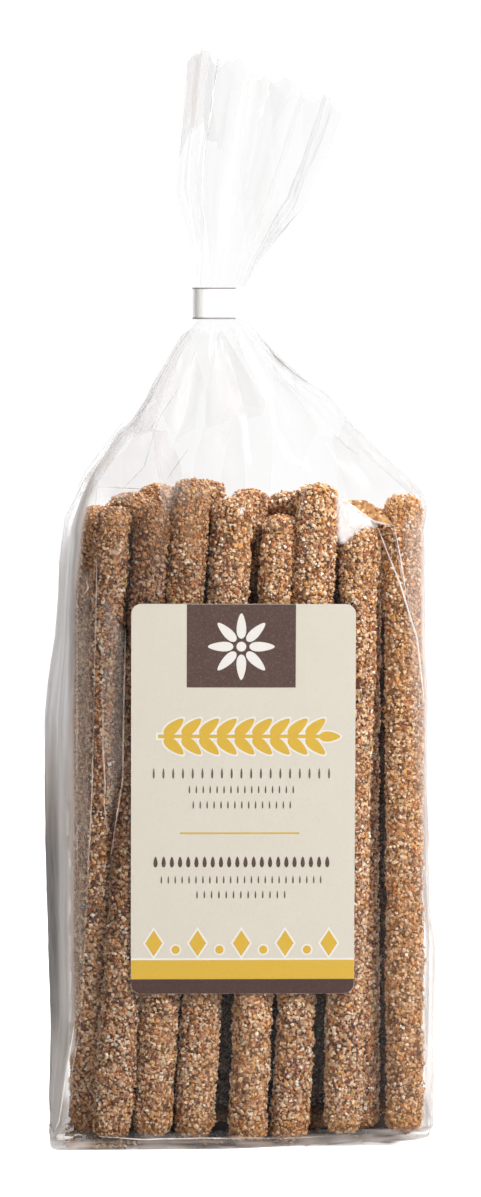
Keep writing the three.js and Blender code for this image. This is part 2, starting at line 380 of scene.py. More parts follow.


# The breadsticks, in millimetres: where each one stands, leans to and ends, row by row from the front.
# footY and topY are how far a stick stands behind its row at the foot and at the top, and footThick and
# topThick how thick it is there. The share of bran in a stick's coat also holds painted shade on the left
# sticks of the front row, where less light falls, and the share of painted shade darkens its middle by how
# deep in the bundle it lies.
stickPlan = {
    "radius": 5.5, "spread": 0.03, "rowPitch": 12.0, "bow": 0.5, "endLength": 4.2, "endPower": 2.6,
    "swell": 0.05, "longSwell": 24, "shortSwell": 9,
    "knobHigh": 0.36, "knob": 3.4, "fineKnob": 2.0, "endKnobs": 1.2, "endKnobsReach": 12,
    "around": 42, "along": 190, "aroundInside": 30, "alongInside": 110, "endRings": 8,
}
stickRows = {
    "front": {
        "topX": (-39.4, -26.6, -15.4, -2.3, 11.8, 23.4, 36.4, 49.2),
        "footX": (-46.9, -40.3, -27.7, -15.1, 1.6, 14.5, 30.9, 50.4),
        "topZ": (196.5, 197.5, 205, 199.5, 194, 203.5, 191, 200),
        "footZ": (3.4, 3.0, 3.2, 2.6, 0.9, 1.4, 4.0, 3.4),
        "topY": (0, 0.4, 0, 0, 1.5, 0, 0.3, 0), "footY": (7.3, -1.2, 0, 0, -1.6, 0, -0.8, 0.6),
        "footThick": (1, 0.97, 0.98, 0.97, 1, 0.98, 0.98, 0.92),
        "topThick": (0.88, 0.93, 1.0, 1.0, 0.92, 1.02, 1.0, 0.97),
        "dark": (0.46, 0.66, 0.36, 0.12, 0.0, 0.0, 0.0, 0.0), "buried": (0, 0, 0, 0, 0, 0, 0, 0),
    },
    "middle": {
        "topX": (-44.4, -33.7, -22.4, -10.6, 3.0, 14.9, 27.6, 37.0),
        "footX": (-47.5, -37.5, -26.2, -16.2, -6.3, 8.5, 23.5, 37.2),
        "topZ": (196.4, 200.4, 195, 204, 200.6, 200.6, 198.6, 186),
        "footZ": (2.0, 3.8, 6.2, 5.2, 5.4, 5.1, 2.8, 4.0),
        "topY": (0, 0, 0, 0, 0, 0, 0, -3.0), "footY": (6.8, 1.0, 0, 3.0, 0, 0, 0, -5.2),
        "dark": (0.3, 0.3, 0.2, 0.2, 0.1, 0.1, 0.0, 0.0),
        "buried": (0.2, 0.7, 0.85, 0.85, 0.82, 0.88, 0.86, 0.05),
        "footThick": (1, 1, 1, 1, 1, 1, 1, 1), "topThick": (1, 1, 1, 1, 1, 1, 1, 1),
    },
    "back": {
        "topX": (-47.6, -36.4, -25.6, -11.5, 3.0, 17.5, 32.0, 47.0),
        "footX": (-47.2, -34.4, -21.8, -9.2, 3.6, 16.8, 31.4, 46.8),
        "topZ": (180, 198, 202.5, 197, 201, 196, 188, 195),
        "footZ": (4.1, 6.3, 3.2, 5.5, 4.0, 6.6, 3.4, 5.2),
        "topY": (0, 0, 0, 0, 0, 0, 0, -2.0), "footY": (1.5, 0, 0, 0, 0, 0, 0, -3.2),
        "dark": (0.2, 0.1, 0.2, 0.0, 0.1, 0.0, 0.2, 0.1),
        "buried": (0.35, 0.85, 0.85, 0.85, 0.85, 0.85, 0.9, 0.9),
        "footThick": (1, 1, 1, 1, 1, 1, 1, 1), "topThick": (1, 1, 1, 1, 1, 1, 1, 1),
    },
}
rowY = {"front": -stickPlan["rowPitch"], "middle": 0.0, "back": stickPlan["rowPitch"]}
sticksInRow = len(stickRows["front"]["topX"])


def stickSeed(row, index):
    return 3.0 * index + 31.0 * list(stickRows).index(row)


def stickRings(row, index, around, along):
    # Rings of one stick from foot to top: a slightly bowed rod with blunt ends and an uneven skin.
    plan, rows, seed = stickPlan, stickRows[row], stickSeed(row, index)
    dice = np.random.default_rng(500 + int(seed))
    foot = np.array([rows["footX"][index], rowY[row] + rows["footY"][index], rows["footZ"][index]])
    top = np.array([rows["topX"][index], rowY[row] + rows["topY"][index], rows["topZ"][index]])
    length = top[2] - foot[2]
    fromEnd = plan["endLength"] * (1 - np.cos(np.linspace(0, np.pi / 2, plan["endRings"] + 1)))
    shaft = np.linspace(fromEnd[-1], length - fromEnd[-1], along)
    run = np.concatenate([fromEnd[:-1], shaft, length - fromEnd[-2::-1]])
    share, toEnd = run / length, np.minimum(run, length - run)

    bow = dice.uniform(-1, 1, 2) * plan["bow"] * (1.0, 0.35)
    sway = dice.uniform(-1, 1, 2) * plan["bow"] * (0.8, 0.25)
    centre = foot + share[:, None] * (top - foot)
    centre[:, :2] += np.sin(np.pi * share)[:, None] * bow + np.sin(2 * np.pi * share)[:, None] * sway
    angle = 2 * np.pi * np.arange(around) / around
    out = np.stack([np.cos(angle), np.sin(angle), np.zeros(around)], -1)
    radius = plan["radius"] * dice.uniform(1 - plan["spread"], 1 + plan["spread"])
    skin = centre[:, None, :] + out[None] * radius

    atFoot, atTop = rows["footThick"][index], rows["topThick"][index]
    thick = atFoot + (atTop - atFoot) * smooth(share, 0.1, 0.8)[:, None]
    swell = lumps(skin, plan["longSwell"], seed) + lumps(skin, plan["shortSwell"], seed)
    reach = radius * thick * (1 + plan["swell"] * swell)
    nearEnd = 1 + plan["endKnobs"] * (1 - np.clip(toEnd / plan["endKnobsReach"], 0, 1))[:, None]
    reach = reach + plan["knobHigh"] * nearEnd * lumps(skin, plan["knob"], seed)
    reach = reach + plan["knobHigh"] * lumps(skin, plan["fineKnob"], seed)
    close = np.clip(toEnd / plan["endLength"], 0, 1)
    blunt = (1 - (1 - close) ** plan["endPower"]) ** (1 / plan["endPower"])
    reach = reach * np.maximum(blunt, 0.02)[:, None]
    return centre[:, None, :] + out[None] * reach[..., None]


# Where grains are worth making: shares of a full coat, distances below a stick's top, heights above the
# floor at its foot, and the part of the front row that the label hides.
coverPlan = {
    "top": (7, 13), "foot": (9, 14), "footShare": 0.7, "backShare": 0.8, "insideShare": 0.25,
    "labelAcross": (-31, 32.5), "labelUp": (50, 164),
}


def coverOf(row, index, rings):
    # A full coat on what faces out of the bundle and on the ends, and a thin one in the gaps.
    plan = coverPlan
    out = rings - rings.mean(axis=1, keepdims=True)
    out = out / np.maximum(np.linalg.norm(out, axis=-1, keepdims=True), 1e-6)
    x, z, top = rings[..., 0], rings[..., 2], stickRows[row]["topZ"][index]
    high = smooth(z, top - plan["top"][1], top - plan["top"][0])
    low = plan["footShare"] * smooth(-z, -plan["foot"][1], -plan["foot"][0])
    if row == "front":
        face = smooth(-out[..., 1], -0.45, -0.1)
        (left, right), (under, over) = plan["labelAcross"], plan["labelUp"]
        hidden = (x > left) & (x < right) & (z > under) & (z < over)
        face = np.where(hidden, 0, face)
    elif row == "back":
        face = plan["backShare"] * smooth(out[..., 1], -0.45, -0.1)
    else:
        face = plan["insideShare"] * smooth(np.abs(out[..., 1]), 0.3, 0.7)
    side = np.zeros_like(face)
    if index in (0, sticksInRow - 1):
        side = smooth(out[..., 0] * (-1 if index == 0 else 1), -0.1, 0.3)
    return np.clip(np.maximum.reduce([face, side, high, low]), 0, 1)


# Shares of toast, and the distances from a stick's ends between which they fade. The tops of the three left
# sticks get more than the others, an extra that is painted shade.
toastPlan = {
    "own": 0.15, "lastStick": 0.25, "shadedLeftTops": 0.46, "otherTops": 0.18, "top": (2, 20),
    "feet": 0.45, "foot": (1, 9), "cloud": 0.12, "cloudSize": 14,
}


def toastOf(row, index, rings):
    # How brown a place is: most at the ends, and by a different amount on each stick.
    plan, seed, z = toastPlan, stickSeed(row, index), rings[..., 2]
    own = np.random.default_rng(900 + int(seed)).uniform(0.0, plan["own"])
    if row == "front" and index == sticksInRow - 1:
        own += plan["lastStick"]
    top, foot = stickRows[row]["topZ"][index], stickRows[row]["footZ"][index]
    high = smooth(z, top - plan["top"][1], top - plan["top"][0])
    low = plan["feet"] * smooth(-z, -foot - plan["foot"][1], -foot - plan["foot"][0])
    # Painted shade: the left sticks' tops are browned more, as less light falls there.
    tops = plan["shadedLeftTops"] if index < 3 else plan["otherTops"]
    return np.clip(own + tops * high + low + plan["cloud"] * lumps(rings, plan["cloudSize"], seed), 0, 1)


# Painted shade: how far from its ends a stick lies deep in the bundle, and how much painted shade darkens
# the foot of the bundle.
paintedShadePlan = {"foot": (3, 12), "top": (24, 38), "nearFloor": 0.13, "floorFrom": 40, "floorTo": 110}


def paintedShadeOf(row, index, rings):
    # Painted shade by how deep in the bundle a place lies: nothing at the ends or outside, and a little near
    # the floor.
    plan, z, top = paintedShadePlan, rings[..., 2], stickRows[row]["topZ"][index]
    between = smooth(z, *plan["foot"]) * smooth(-z, plan["top"][0] - top, plan["top"][1] - top)
    inward = rings.mean(axis=1, keepdims=True) - rings
    if row == "back":
        between = between * smooth(inward[..., 1], 0, 3)
    if index in (0, sticksInRow - 1):
        between = between * smooth(inward[..., 0] * (-1 if index == 0 else 1), -3, 1)
    nearFloor = plan["nearFloor"] * smooth(-z, -plan["floorTo"], -plan["floorFrom"])
    return np.maximum(stickRows[row]["buried"][index] * between, nearFloor)


def branAndShadeOf(row, index, rings):
    # How much bran a place holds, with painted shade on the sticks that get less light: less towards the
    # foot, and more in small spots below the tops.
    z = rings[..., 2]
    # A stick's own share, large on the left sticks of the front row, is painted shade as well as bran.
    own = stickRows[row]["dark"][index] * (1 - 0.8 * smooth(-z, -120, -20))
    spots = 0.5 * np.clip(lumps(rings, 2.6, 60 + index) - 0.05, 0, 1) * smooth(-z, -190, -165)
    return np.clip(own + spots, 0, 1)


def addFloats(mesh, **columns):
    for name, values in columns.items():
        attribute = mesh.attributes.new(name, "FLOAT", "POINT")
        attribute.data.foreach_set("value", np.asarray(values, float).ravel())


def stickRowMesh(row, material):
    inside = row == "middle"
    around, along = (stickPlan[key + ("Inside" if inside else "")] for key in ("around", "along"))
    places, faces, start = [], [], 0
    columns = {"cover": [], "toast": [], "dark": [], "buried": []}
    for index in range(sticksInRow):
        rings = stickRings(row, index, around, along)
        count = rings.shape[0]
        places.append(rings.reshape(-1, 3))
        for name, rule in (("cover", coverOf), ("toast", toastOf), ("dark", branAndShadeOf), ("buried", paintedShadeOf)):
            columns[name].append(rule(row, index, rings).ravel())
        faces += gridFaces(count, around, start)
        faces.append(tuple(start + column for column in range(around - 1, -1, -1)))
        faces.append(tuple(start + (count - 1) * around + column for column in range(around)))
        start += count * around
    mesh = meshFrom("sticks", np.concatenate(places), faces, material)
    addFloats(mesh, **{name: np.concatenate(values) for name, values in columns.items()})
    return mesh


# Where loose crumbs lie on the bag's floor, in millimetres, and how thick they lie there.
crumbPlan = {
    "left": -55, "right": 53, "columns": 109, "depths": (-19.4, -17.0, -12.0, 0.0, 12.0, 18.0), "height": 0.5,
    "front": 0.9, "elsewhere": 0.25, "toast": 0.15, "dark": 0.1,
}


def crumbBed():
    # Many crumbs just inside the front film at the left, few elsewhere, and none at the right end.
    plan = crumbPlan
    x, y = np.meshgrid(np.linspace(plan["left"], plan["right"], plan["columns"]), np.array(plan["depths"]))
    atFront = plan["front"] * smooth(x, -56, -50) * (1 - smooth(x, -38, -31))
    behind = plan["elsewhere"] * (1 - 0.8 * smooth(x, 20, 36))
    cover = np.where(y < -14, atFront, behind) * (1 - smooth(x, 36, 42))
    places = np.stack([x, y, plan["height"] + 0 * x], -1).reshape(-1, 3)
    mesh = meshFrom("crumbBed", places, gridFaces(len(plan["depths"]), plan["columns"], closed=False))
    even = np.ones(x.shape)
    addFloats(mesh, cover=cover, toast=plan["toast"] * even, dark=plan["dark"] * even, buried=0 * even)
    return mesh


crust = crustFinish()
rowMeshes = {row: stickRowMesh(row, crust) for row in stickRows}
crumbs = crumbBed()
print("breadsticks shaped")


# The coating: a few kinds of coarse grain. Each has its number for a square metre, its half sizes and its
# lift off the crust in millimetres, the smallest and largest factor of its size, and its tones.
grainKinds = {
    "paleGrains": {
        "perMetre": 250000, "long": 0.64, "flat": 0.54, "thick": 0.48, "small": 0.50, "large": 1.45,
        "roughness": 0.34, "lift": 0.30,
        "stops": [(0.0, tint(228, 194, 150)), (0.5, tint(246, 222, 188)), (1.0, tint(255, 248, 234))],
    },
    "creamGrains": {
        "perMetre": 320000, "long": 0.74, "flat": 0.56, "thick": 0.46, "small": 0.50, "large": 1.45,
        "roughness": 0.46, "lift": 0.22,
        "stops": [(0.0, tint(206, 160, 116)), (0.5, tint(232, 192, 148)), (1.0, tint(246, 218, 182))],
    },
    "goldenGrains": {
        "perMetre": 315000, "long": 0.72, "flat": 0.58, "thick": 0.48, "small": 0.50, "large": 1.45,
        "roughness": 0.44, "lift": 0.22,
        "stops": [(0.0, tint(180, 98, 46)), (0.5, tint(220, 146, 80)), (1.0, tint(246, 192, 112))],
    },
    "branFlakes": {
        "perMetre": 300000, "long": 0.74, "flat": 0.60, "thick": 0.40, "small": 0.5, "large": 1.35,
        "roughness": 0.56, "lift": 0.08,
        "stops": [(0.0, tint(60, 28, 18)), (0.5, tint(118, 56, 32)), (1.0, tint(172, 94, 54))],
    },
    "seedSlivers": {
        "perMetre": 2600, "long": 1.7, "flat": 0.46, "thick": 0.40, "small": 0.7, "large": 1.3,
        "roughness": 0.45, "lift": 0.4,
        "stops": [(0.0, tint(150, 124, 50)), (0.5, tint(190, 160, 70)), (1.0, tint(212, 190, 108))],
    },
    "standingGrains": {
        "perMetre": 42000, "long": 0.82, "flat": 0.62, "thick": 0.56, "small": 0.6, "large": 1.25,
        "roughness": 0.45, "lift": 0.62,
        "stops": [(0.0, tint(168, 96, 54)), (0.4, tint(214, 158, 104)), (1.0, tint(250, 226, 188))],
    },
}


# Grain shapes: how many there are of each kind, how uneven they are, and how far they tilt, in radians.
chipPlan = {"shapes": 6, "uneven": 0.26, "tilt": 0.7}


def grainShapes(name, kind, seed):
    # Chipped shapes of one kind: each is the hull of six points on a squashed ball.
    dice = np.random.default_rng(seed)
    shapes = bpy.data.collections.new(name + "Shapes")
    for number in range(chipPlan["shapes"]):
        mesh = bpy.data.meshes.new(f"{name}Shape{number}")
        chip = bmesh.new()
        for direction in np.concatenate([np.eye(3), -np.eye(3)]) + dice.normal(0, chipPlan["uneven"], (6, 3)):
            direction = direction / np.linalg.norm(direction)
            chip.verts.new(direction * (kind["long"], kind["flat"], kind["thick"]) * mm)
        bmesh.ops.convex_hull(chip, input=chip.verts)
        bmesh.ops.delete(chip, geom=[v for v in chip.verts if not v.link_faces], context="VERTS")
        bmesh.ops.recalc_face_normals(chip, faces=chip.faces)
        chip.to_mesh(mesh)
        chip.free()
        shapes.objects.link(bpy.data.objects.new(mesh.name, mesh))
    return shapes


def grainTree():
    # Scatters the chosen shapes over a mesh, thicker where its attribute cover says so, with a tone for each.
    tree = bpy.data.node_groups.new("grainCoat", "GeometryNodeTree")
    sockets = (
        ("Mesh", "NodeSocketGeometry", None), ("Grain Shapes", "NodeSocketCollection", None),
        ("Grains per Square Metre", "NodeSocketFloat", 200000.0), ("Smallest", "NodeSocketFloat", 0.6),
        ("Largest", "NodeSocketFloat", 1.2), ("Tilt", "NodeSocketFloat", 0.6),
        ("Lift", "NodeSocketFloat", 0.0002), ("Seed", "NodeSocketInt", 0),
        ("Finish", "NodeSocketMaterial", None),
    )
    for label, kind, value in sockets:
        socket = tree.interface.new_socket(label, in_out="INPUT", socket_type=kind)
        if value is not None:
            socket.default_value = value
    tree.interface.new_socket("Grains", in_out="OUTPUT", socket_type="NodeSocketGeometry")
    given, out = tree.nodes.new("NodeGroupInput"), tree.nodes.new("NodeGroupOutput")
    cover = addNode(tree, "GeometryNodeInputNamedAttribute", {"Name": "cover"}, data_type="FLOAT")
    scatter = addNode(tree, "GeometryNodeDistributePointsOnFaces", distribute_method="RANDOM")
    shapes = addNode(tree, "GeometryNodeCollectionInfo", {"Separate Children": True, "Reset Children": True})
    place = addNode(tree, "GeometryNodeInstanceOnPoints", {"Pick Instance": True})
    turn = addNode(tree, "FunctionNodeRandomValue", data_type="FLOAT_VECTOR")
    spin = addNode(tree, "FunctionNodeEulerToRotation")
    aim = addNode(tree, "FunctionNodeRotateRotation", rotation_space="LOCAL")
    size = addNode(tree, "FunctionNodeRandomValue", data_type="FLOAT")
    tone = addNode(tree, "FunctionNodeRandomValue", data_type="FLOAT")
    store = addNode(tree, "GeometryNodeStoreNamedAttribute", {"Name": "shade"}, data_type="FLOAT",
                    domain="INSTANCE")
    lowTurn = addNode(tree, "ShaderNodeCombineXYZ", {"Z": 0.0})
    highTurn = addNode(tree, "ShaderNodeCombineXYZ", {"Z": 2 * math.pi})
    back = times(tree, given.outputs["Tilt"], -1.0)
    density = times(tree, cover.outputs["Attribute"], given.outputs["Grains per Square Metre"])
    rise = addNode(tree, "ShaderNodeVectorMath", operation="SCALE")
    raised = addNode(tree, "GeometryNodeSetPosition")
    realize = addNode(tree, "GeometryNodeRealizeInstances")
    paint = addNode(tree, "GeometryNodeSetMaterial")
    sizeSeed = plus(tree, given.outputs["Seed"], 11.0)
    toneSeed = plus(tree, given.outputs["Seed"], 23.0)
    wire(
        tree,
        (given.outputs["Mesh"], scatter.inputs["Mesh"]), (density, scatter.inputs["Density"]),
        (given.outputs["Seed"], scatter.inputs["Seed"]), (given.outputs["Grain Shapes"], shapes.inputs[0]),
        (scatter.outputs["Normal"], rise.inputs[0]), (given.outputs["Lift"], rise.inputs["Scale"]),
        (scatter.outputs["Points"], raised.inputs["Geometry"]), (rise.outputs[0], raised.inputs["Offset"]),
        (raised.outputs[0], place.inputs["Points"]), (shapes.outputs[0], place.inputs["Instance"]),
        (back, lowTurn.inputs["X"]), (back, lowTurn.inputs["Y"]),
        (given.outputs["Tilt"], highTurn.inputs["X"]), (given.outputs["Tilt"], highTurn.inputs["Y"]),
        (lowTurn.outputs[0], turn.inputs[0]), (highTurn.outputs[0], turn.inputs[1]),
        (given.outputs["Seed"], turn.inputs["Seed"]), (turn.outputs[0], spin.inputs[0]),
        (scatter.outputs["Rotation"], aim.inputs["Rotation"]), (spin.outputs[0], aim.inputs["Rotate By"]),
        (aim.outputs[0], place.inputs["Rotation"]),
        (given.outputs["Smallest"], size.inputs[2]), (given.outputs["Largest"], size.inputs[3]),
        (sizeSeed, size.inputs["Seed"]), (size.outputs[1], place.inputs["Scale"]),
        (toneSeed, tone.inputs["Seed"]), (place.outputs[0], store.inputs["Geometry"]),
        (tone.outputs[1], store.inputs["Value"]), (store.outputs[0], realize.inputs[0]),
        (realize.outputs[0], paint.inputs["Geometry"]), (given.outputs["Finish"], paint.inputs["Material"]),
        (paint.outputs[0], out.inputs["Grains"]),
    )
    return tree


def bakeNodes(carrier, tree, values):
    # Runs a Geometry Nodes tree on a mesh and gives back the plain mesh that it makes.
    modifier = carrier.modifiers.new(tree.name, "NODES")
    modifier.node_group = tree
    sockets = {s.name: s.identifier for s in tree.interface.items_tree if s.in_out == "INPUT"}
    for label, value in values.items():
        modifier[sockets[label]] = value
    graph = bpy.context.evaluated_depsgraph_get()
    mesh = bpy.data.meshes.new_from_object(carrier.evaluated_get(graph), depsgraph=graph)
    carrier.modifiers.remove(modifier)
    return mesh


def addGrains(sources):
    # One carrier holds all the sticks, so that each kind of grain becomes one piece.
    joined = bmesh.new()
    for mesh in sources:
        joined.from_mesh(mesh)
    bed = bpy.data.meshes.new("grainBed")
    joined.to_mesh(bed)
    joined.free()
    carrier = bpy.data.objects.new("grainBed", bed)
    bpy.context.scene.collection.objects.link(carrier)
    tree = grainTree()
    for number, (name, kind) in enumerate(grainKinds.items()):
        shapes = grainShapes(name, kind, 90 + number)
        mesh = bakeNodes(carrier, tree, {
            "Grain Shapes": shapes, "Grains per Square Metre": float(kind["perMetre"]),
            "Smallest": kind["small"], "Largest": kind["large"], "Tilt": chipPlan["tilt"],
            "Lift": kind["lift"] * mm, "Seed": 7 + 10 * number,
            "Finish": grainFinish(name + "Finish", kind["stops"], kind["roughness"]),
        })
        mesh.name = name
        addPiece(name, mesh)
        mesh.calc_loop_triangles()
        print(name, "triangles", len(mesh.loop_triangles))
    bpy.data.objects.remove(carrier)


for row, mesh in rowMeshes.items():
    addPiece(f"{row}Sticks", mesh)
addGrains([*rowMeshes.values(), crumbs])
print("grains scattered")


# The film bag, in millimetres: its edges seen from the front, how far the front folds stand inside them,
# and half its depth, by height.
filmPlan = {
    "stickReach": 6.9, "sag": 2.2, "sideFold": 1.2, "sideDrawn": 0.42, "corner": 3.0,
    "footRound": 2.5, "footSpread": 2.2, "footTuck": 0.5, "footLift": 1.7,
    "labelLow": 40, "labelHigh": 172, "labelFront": -19.25,
    "shoulder": 187.0, "rounded": 245.0, "neckLow": 253.5, "neckHigh": 264.5,
    "topLeft": 338.0, "topRight": 322.0, "columns": 400, "rings": 230,
}
leftEdge = (
    (0, -60), (45, -60.2), (70, -60.4), (106, -60.9), (131, -60.6), (143, -59.4), (155, -57.8), (180, -56),
    (192, -54.4), (204, -49.2), (210, -45.2), (217, -40.4), (223, -34.8), (229, -30.4), (235, -26.6),
    (247, -18.4), (253.5, -13.1), (264.5, -13.1), (276, -13.4), (296, -17.6), (317, -16), (338, -14),
)
rightEdge = (
    (0, 59.6), (45, 60.0), (62, 59.9), (80, 59.4), (95, 59.2), (131, 58.4), (180, 58.2), (199, 57.4),
    (206, 51.4), (220, 38), (233, 24.6), (246, 9.8), (253.5, 1.3), (264.5, 1.3),
    (275, 5.6), (287, 12.6), (298, 18.6), (338, 29),
)
halfDepth = (
    (0, 20.4), (12, 19.6), (40, 19.3), (194, 19.3), (206, 17.6), (220, 13.6), (234, 9.2), (246, 5.2),
    (253.5, 2.7), (264.5, 2.7), (278, 5.4), (296, 8.4), (338, 11),
)
leftFrontIn = (
    (0, 0.6), (3, 1.2), (8, 3.2), (23, 4.8), (38, 6.4), (140, 6.8), (165, 4.6), (185, 4.0),
    (205, 2.0), (215, 0),
)
rightFrontIn = (
    (0, 0.6), (8, 0.8), (40, 1.2), (61, 0.8), (72, 2.2), (100, 2.3), (139, 1.9), (156, 2.8),
    (190, 2.6), (202, 0),
)
# How far forward the folded base reaches, by place across.
baseFront = ((-60, 21), (-6, 21), (16, 19.9), (34, 19.2), (47.5, 16.6), (53.0, 14.4), (58.4, 8), (59.5, 7))


# Pleats of the gathered film: how many go round it, and how deep they are as a share of its depth, or for the
# top edge in millimetres.
pleatPlan = {
    "shoulder": (13, 0.16), "fan": (9, 0.30), "fineShoulder": (29, 0.05), "fineFan": (23, 0.07),
    "neck": (29, 0.10), "scallops": (9, 4.5), "fringe": (31, 1.2),
}
# How far crumpling moves the film, in millimetres.
crumplePlan = {"body": 0.8, "onSticks": 0.15, "foot": 0.45, "footCrease": 0.35, "shoulder": 1.9, "fan": 1.3}


def follow(pairs, level):
    heights, distances = zip(*pairs)
    return np.interp(level, heights, distances)


def stickReach(row, x, z):
    # How far out the film has to be to clear a row of sticks, and 0 where there is no stick.
    rows, reach = stickRows[row], filmPlan["stickReach"]
    keys = ("footX", "topX", "topZ", "footY", "topY")
    furthest = np.zeros(np.broadcast(x, z).shape)
    inward = 1 if row == "front" else -1
    for footX, topX, topZ, footY, topY in zip(*(rows[key] for key in keys)):
        share = np.clip(z / topZ, 0, 1)
        across = x - (footX + (topX - footX) * share)
        above = np.maximum(0, z - (topZ + 0.7 - reach))
        room = reach ** 2 - across ** 2 - above ** 2
        out = stickPlan["rowPitch"] - inward * (footY + (topY - footY) * share) + np.sqrt(np.maximum(room, 0))
        furthest = np.where(room > 0, np.maximum(furthest, out), furthest)
    return furthest


def rectangleEdge(share, wide, deep):
    # Places on a rectangle's edge, going round once anticlockwise from the middle of its right side.
    around = share * 4 * (wide + deep)
    stops = np.cumsum([0, deep, 2 * wide, 2 * deep, 2 * wide, deep])
    x = np.interp(around, stops, [wide, wide, -wide, -wide, wide, wide])
    y = np.interp(around, stops, [0, deep, deep, -deep, -deep, 0])
    return x, y


def filmGrid():
    # The film as rings of places, from the rounded foot up to the fringe of the fan.
    plan, crumples = filmPlan, crumplePlan
    levels = np.concatenate([
        plan["footRound"] * (1 - np.cos(np.linspace(0, np.pi / 2, 8)[:-1])),
        np.linspace(plan["footRound"], plan["topLeft"], plan["rings"] - 7),
    ])[:, None]
    share = (np.arange(plan["columns"]) / plan["columns"])[None]
    left, right, deep = follow(leftEdge, levels), follow(rightEdge, levels), follow(halfDepth, levels)
    wide, middle = (right - left) / 2, (right + left) / 2
    tall = deep + plan["footSpread"] * np.clip(1 - levels / 12, 0, 1) ** 2
    edgeX, edgeY = rectangleEdge(share, rightEdge[0][1], halfDepth[2][1])
    squareX, squareY = edgeX / rightEdge[0][1] * wide, edgeY / halfDepth[2][1] * tall
    corner = np.minimum(plan["corner"], deep * 0.9)
    innerX = np.clip(squareX, corner - wide, wide - corner)
    innerY = np.clip(squareY, corner - tall, tall - corner)
    away = np.hypot(squareX - innerX, squareY - innerY)
    x = innerX + (squareX - innerX) / away * corner
    y = innerY + (squareY - innerY) / away * corner
    frontIn = np.where(x < 0, follow(leftFrontIn, levels), follow(rightFrontIn, levels))
    x = x * (1 - frontIn / wide * np.clip((tall - corner - y) / (2 * tall - corner), 0, 1))

    # The faces drape over the sticks and the sides fold in.
    nearSide = wide - frontIn * (y < 0)
    onFace = smooth(np.abs(innerY) / deep, 0.5, 0.66) * (1 - smooth(np.abs(x), nearSide - 9, nearSide - 2))
    reach = np.where(y < 0, stickReach("front", x + middle, levels), stickReach("back", x + middle, levels))
    held = np.maximum(np.abs(y) - plan["sag"], reach)
    draped = smooth(levels, 3, 14) * (1 - smooth(levels, 205, 212))
    y = y + (np.sign(y) * held - y) * onFace * draped
    atLabel = (levels > plan["labelLow"]) & (levels < plan["labelHigh"])
    y = np.where(atLabel, np.maximum(y, plan["labelFront"]), y)
    onSide = 1 - smooth(np.abs(y) / deep, 0, 0.8)
    gather = smooth(levels, plan["shoulder"], plan["rounded"])
    drawnIn = plan["sideFold"] * smooth(levels, 4, 40)
    belowNeck = 1 - smooth(levels, plan["rounded"], plan["neckLow"])
    drawnIn = drawnIn + plan["sideDrawn"] * wide * gather * belowNeck
    drawnIn = drawnIn * onSide * smooth(np.abs(x) / wide, 0.8, 1)
    x = np.where(levels < plan["neckLow"], x - np.sign(x) * drawnIn, x)

    # Above the sticks the section turns into the oval bunch of the neck, with pleats down and up from it.
    def pleats(kind, drift=0.0):
        count, high = pleatPlan[kind]
        return high * zigzag(share * count + drift)

    angle = 2 * np.pi * share
    x = x + (wide * np.cos(angle) - x) * gather
    y = y + (deep * np.sin(angle) - y) * gather
    inShoulder = smooth(levels, plan["shoulder"] + 8, 232) * (1 - smooth(levels, 248, plan["neckLow"]))
    inFan = smooth(levels, plan["neckHigh"], 290)
    inNeck = smooth(levels, 236, 254) * (1 - smooth(levels, 264, 290))
    drift = 0.35 * np.sin(2 * angle + 1.3)
    uneven = 0.65 + 0.35 * np.sin(3 * angle + 0.8)
    fold = inShoulder * pleats("shoulder", drift) + inFan * pleats("fan", drift) + inNeck * pleats("neck")
    fine = inShoulder * pleats("fineShoulder", 1.2 * np.sin(2 * angle) + levels * 0.006)
    fine = fine + inFan * pleats("fineFan", 1.6 * np.sin(2 * angle + 2) - levels * 0.008)
    fold = fold + uneven * fine
    x = x * (1 + fold * np.where(inFan > 0, 0.35, 0.2))
    y = y * (1 + fold)
    across = np.clip((x + wide) / (2 * wide), 0, 1)
    top = plan["topLeft"] + (plan["topRight"] - plan["topLeft"]) * across
    for kind, drift in (("scallops", 0.3), ("fringe", 0.0)):
        top = top - 0.5 * (pleatPlan[kind][1] + pleats(kind, drift))
    aboveNeck = np.maximum(levels - plan["neckHigh"], 0)
    stretch = (top - plan["neckHigh"]) / (plan["topLeft"] - plan["neckHigh"])
    z = levels + aboveNeck * (stretch - 1)
    footShare = np.clip(1 - levels / plan["footRound"], 0, 1)
    tuck = plan["footTuck"] * plan["footRound"] * (1 - np.sqrt(1 - footShare ** 2))
    x = x - np.sign(x) * np.minimum(tuck, np.abs(x))
    y = y - np.sign(y) * np.minimum(tuck, np.abs(y))
    # The base's front right corner is folded under, and the film there stands off the table.
    foldedIn = np.minimum(1, follow(baseFront, x + middle) / tall)
    y = np.where(y < 0, y * (1 + (foldedIn - 1) * (1 - smooth(levels, 0.5, 7))), y)
    lifted = plan["footLift"] * smooth(x + middle, -8, 40) * (1 - smooth(levels, 1, 9))
    lifted = lifted * np.clip(-y / tall, 0, 1)
    grid = np.stack([x + middle, y, z + lifted], -1)

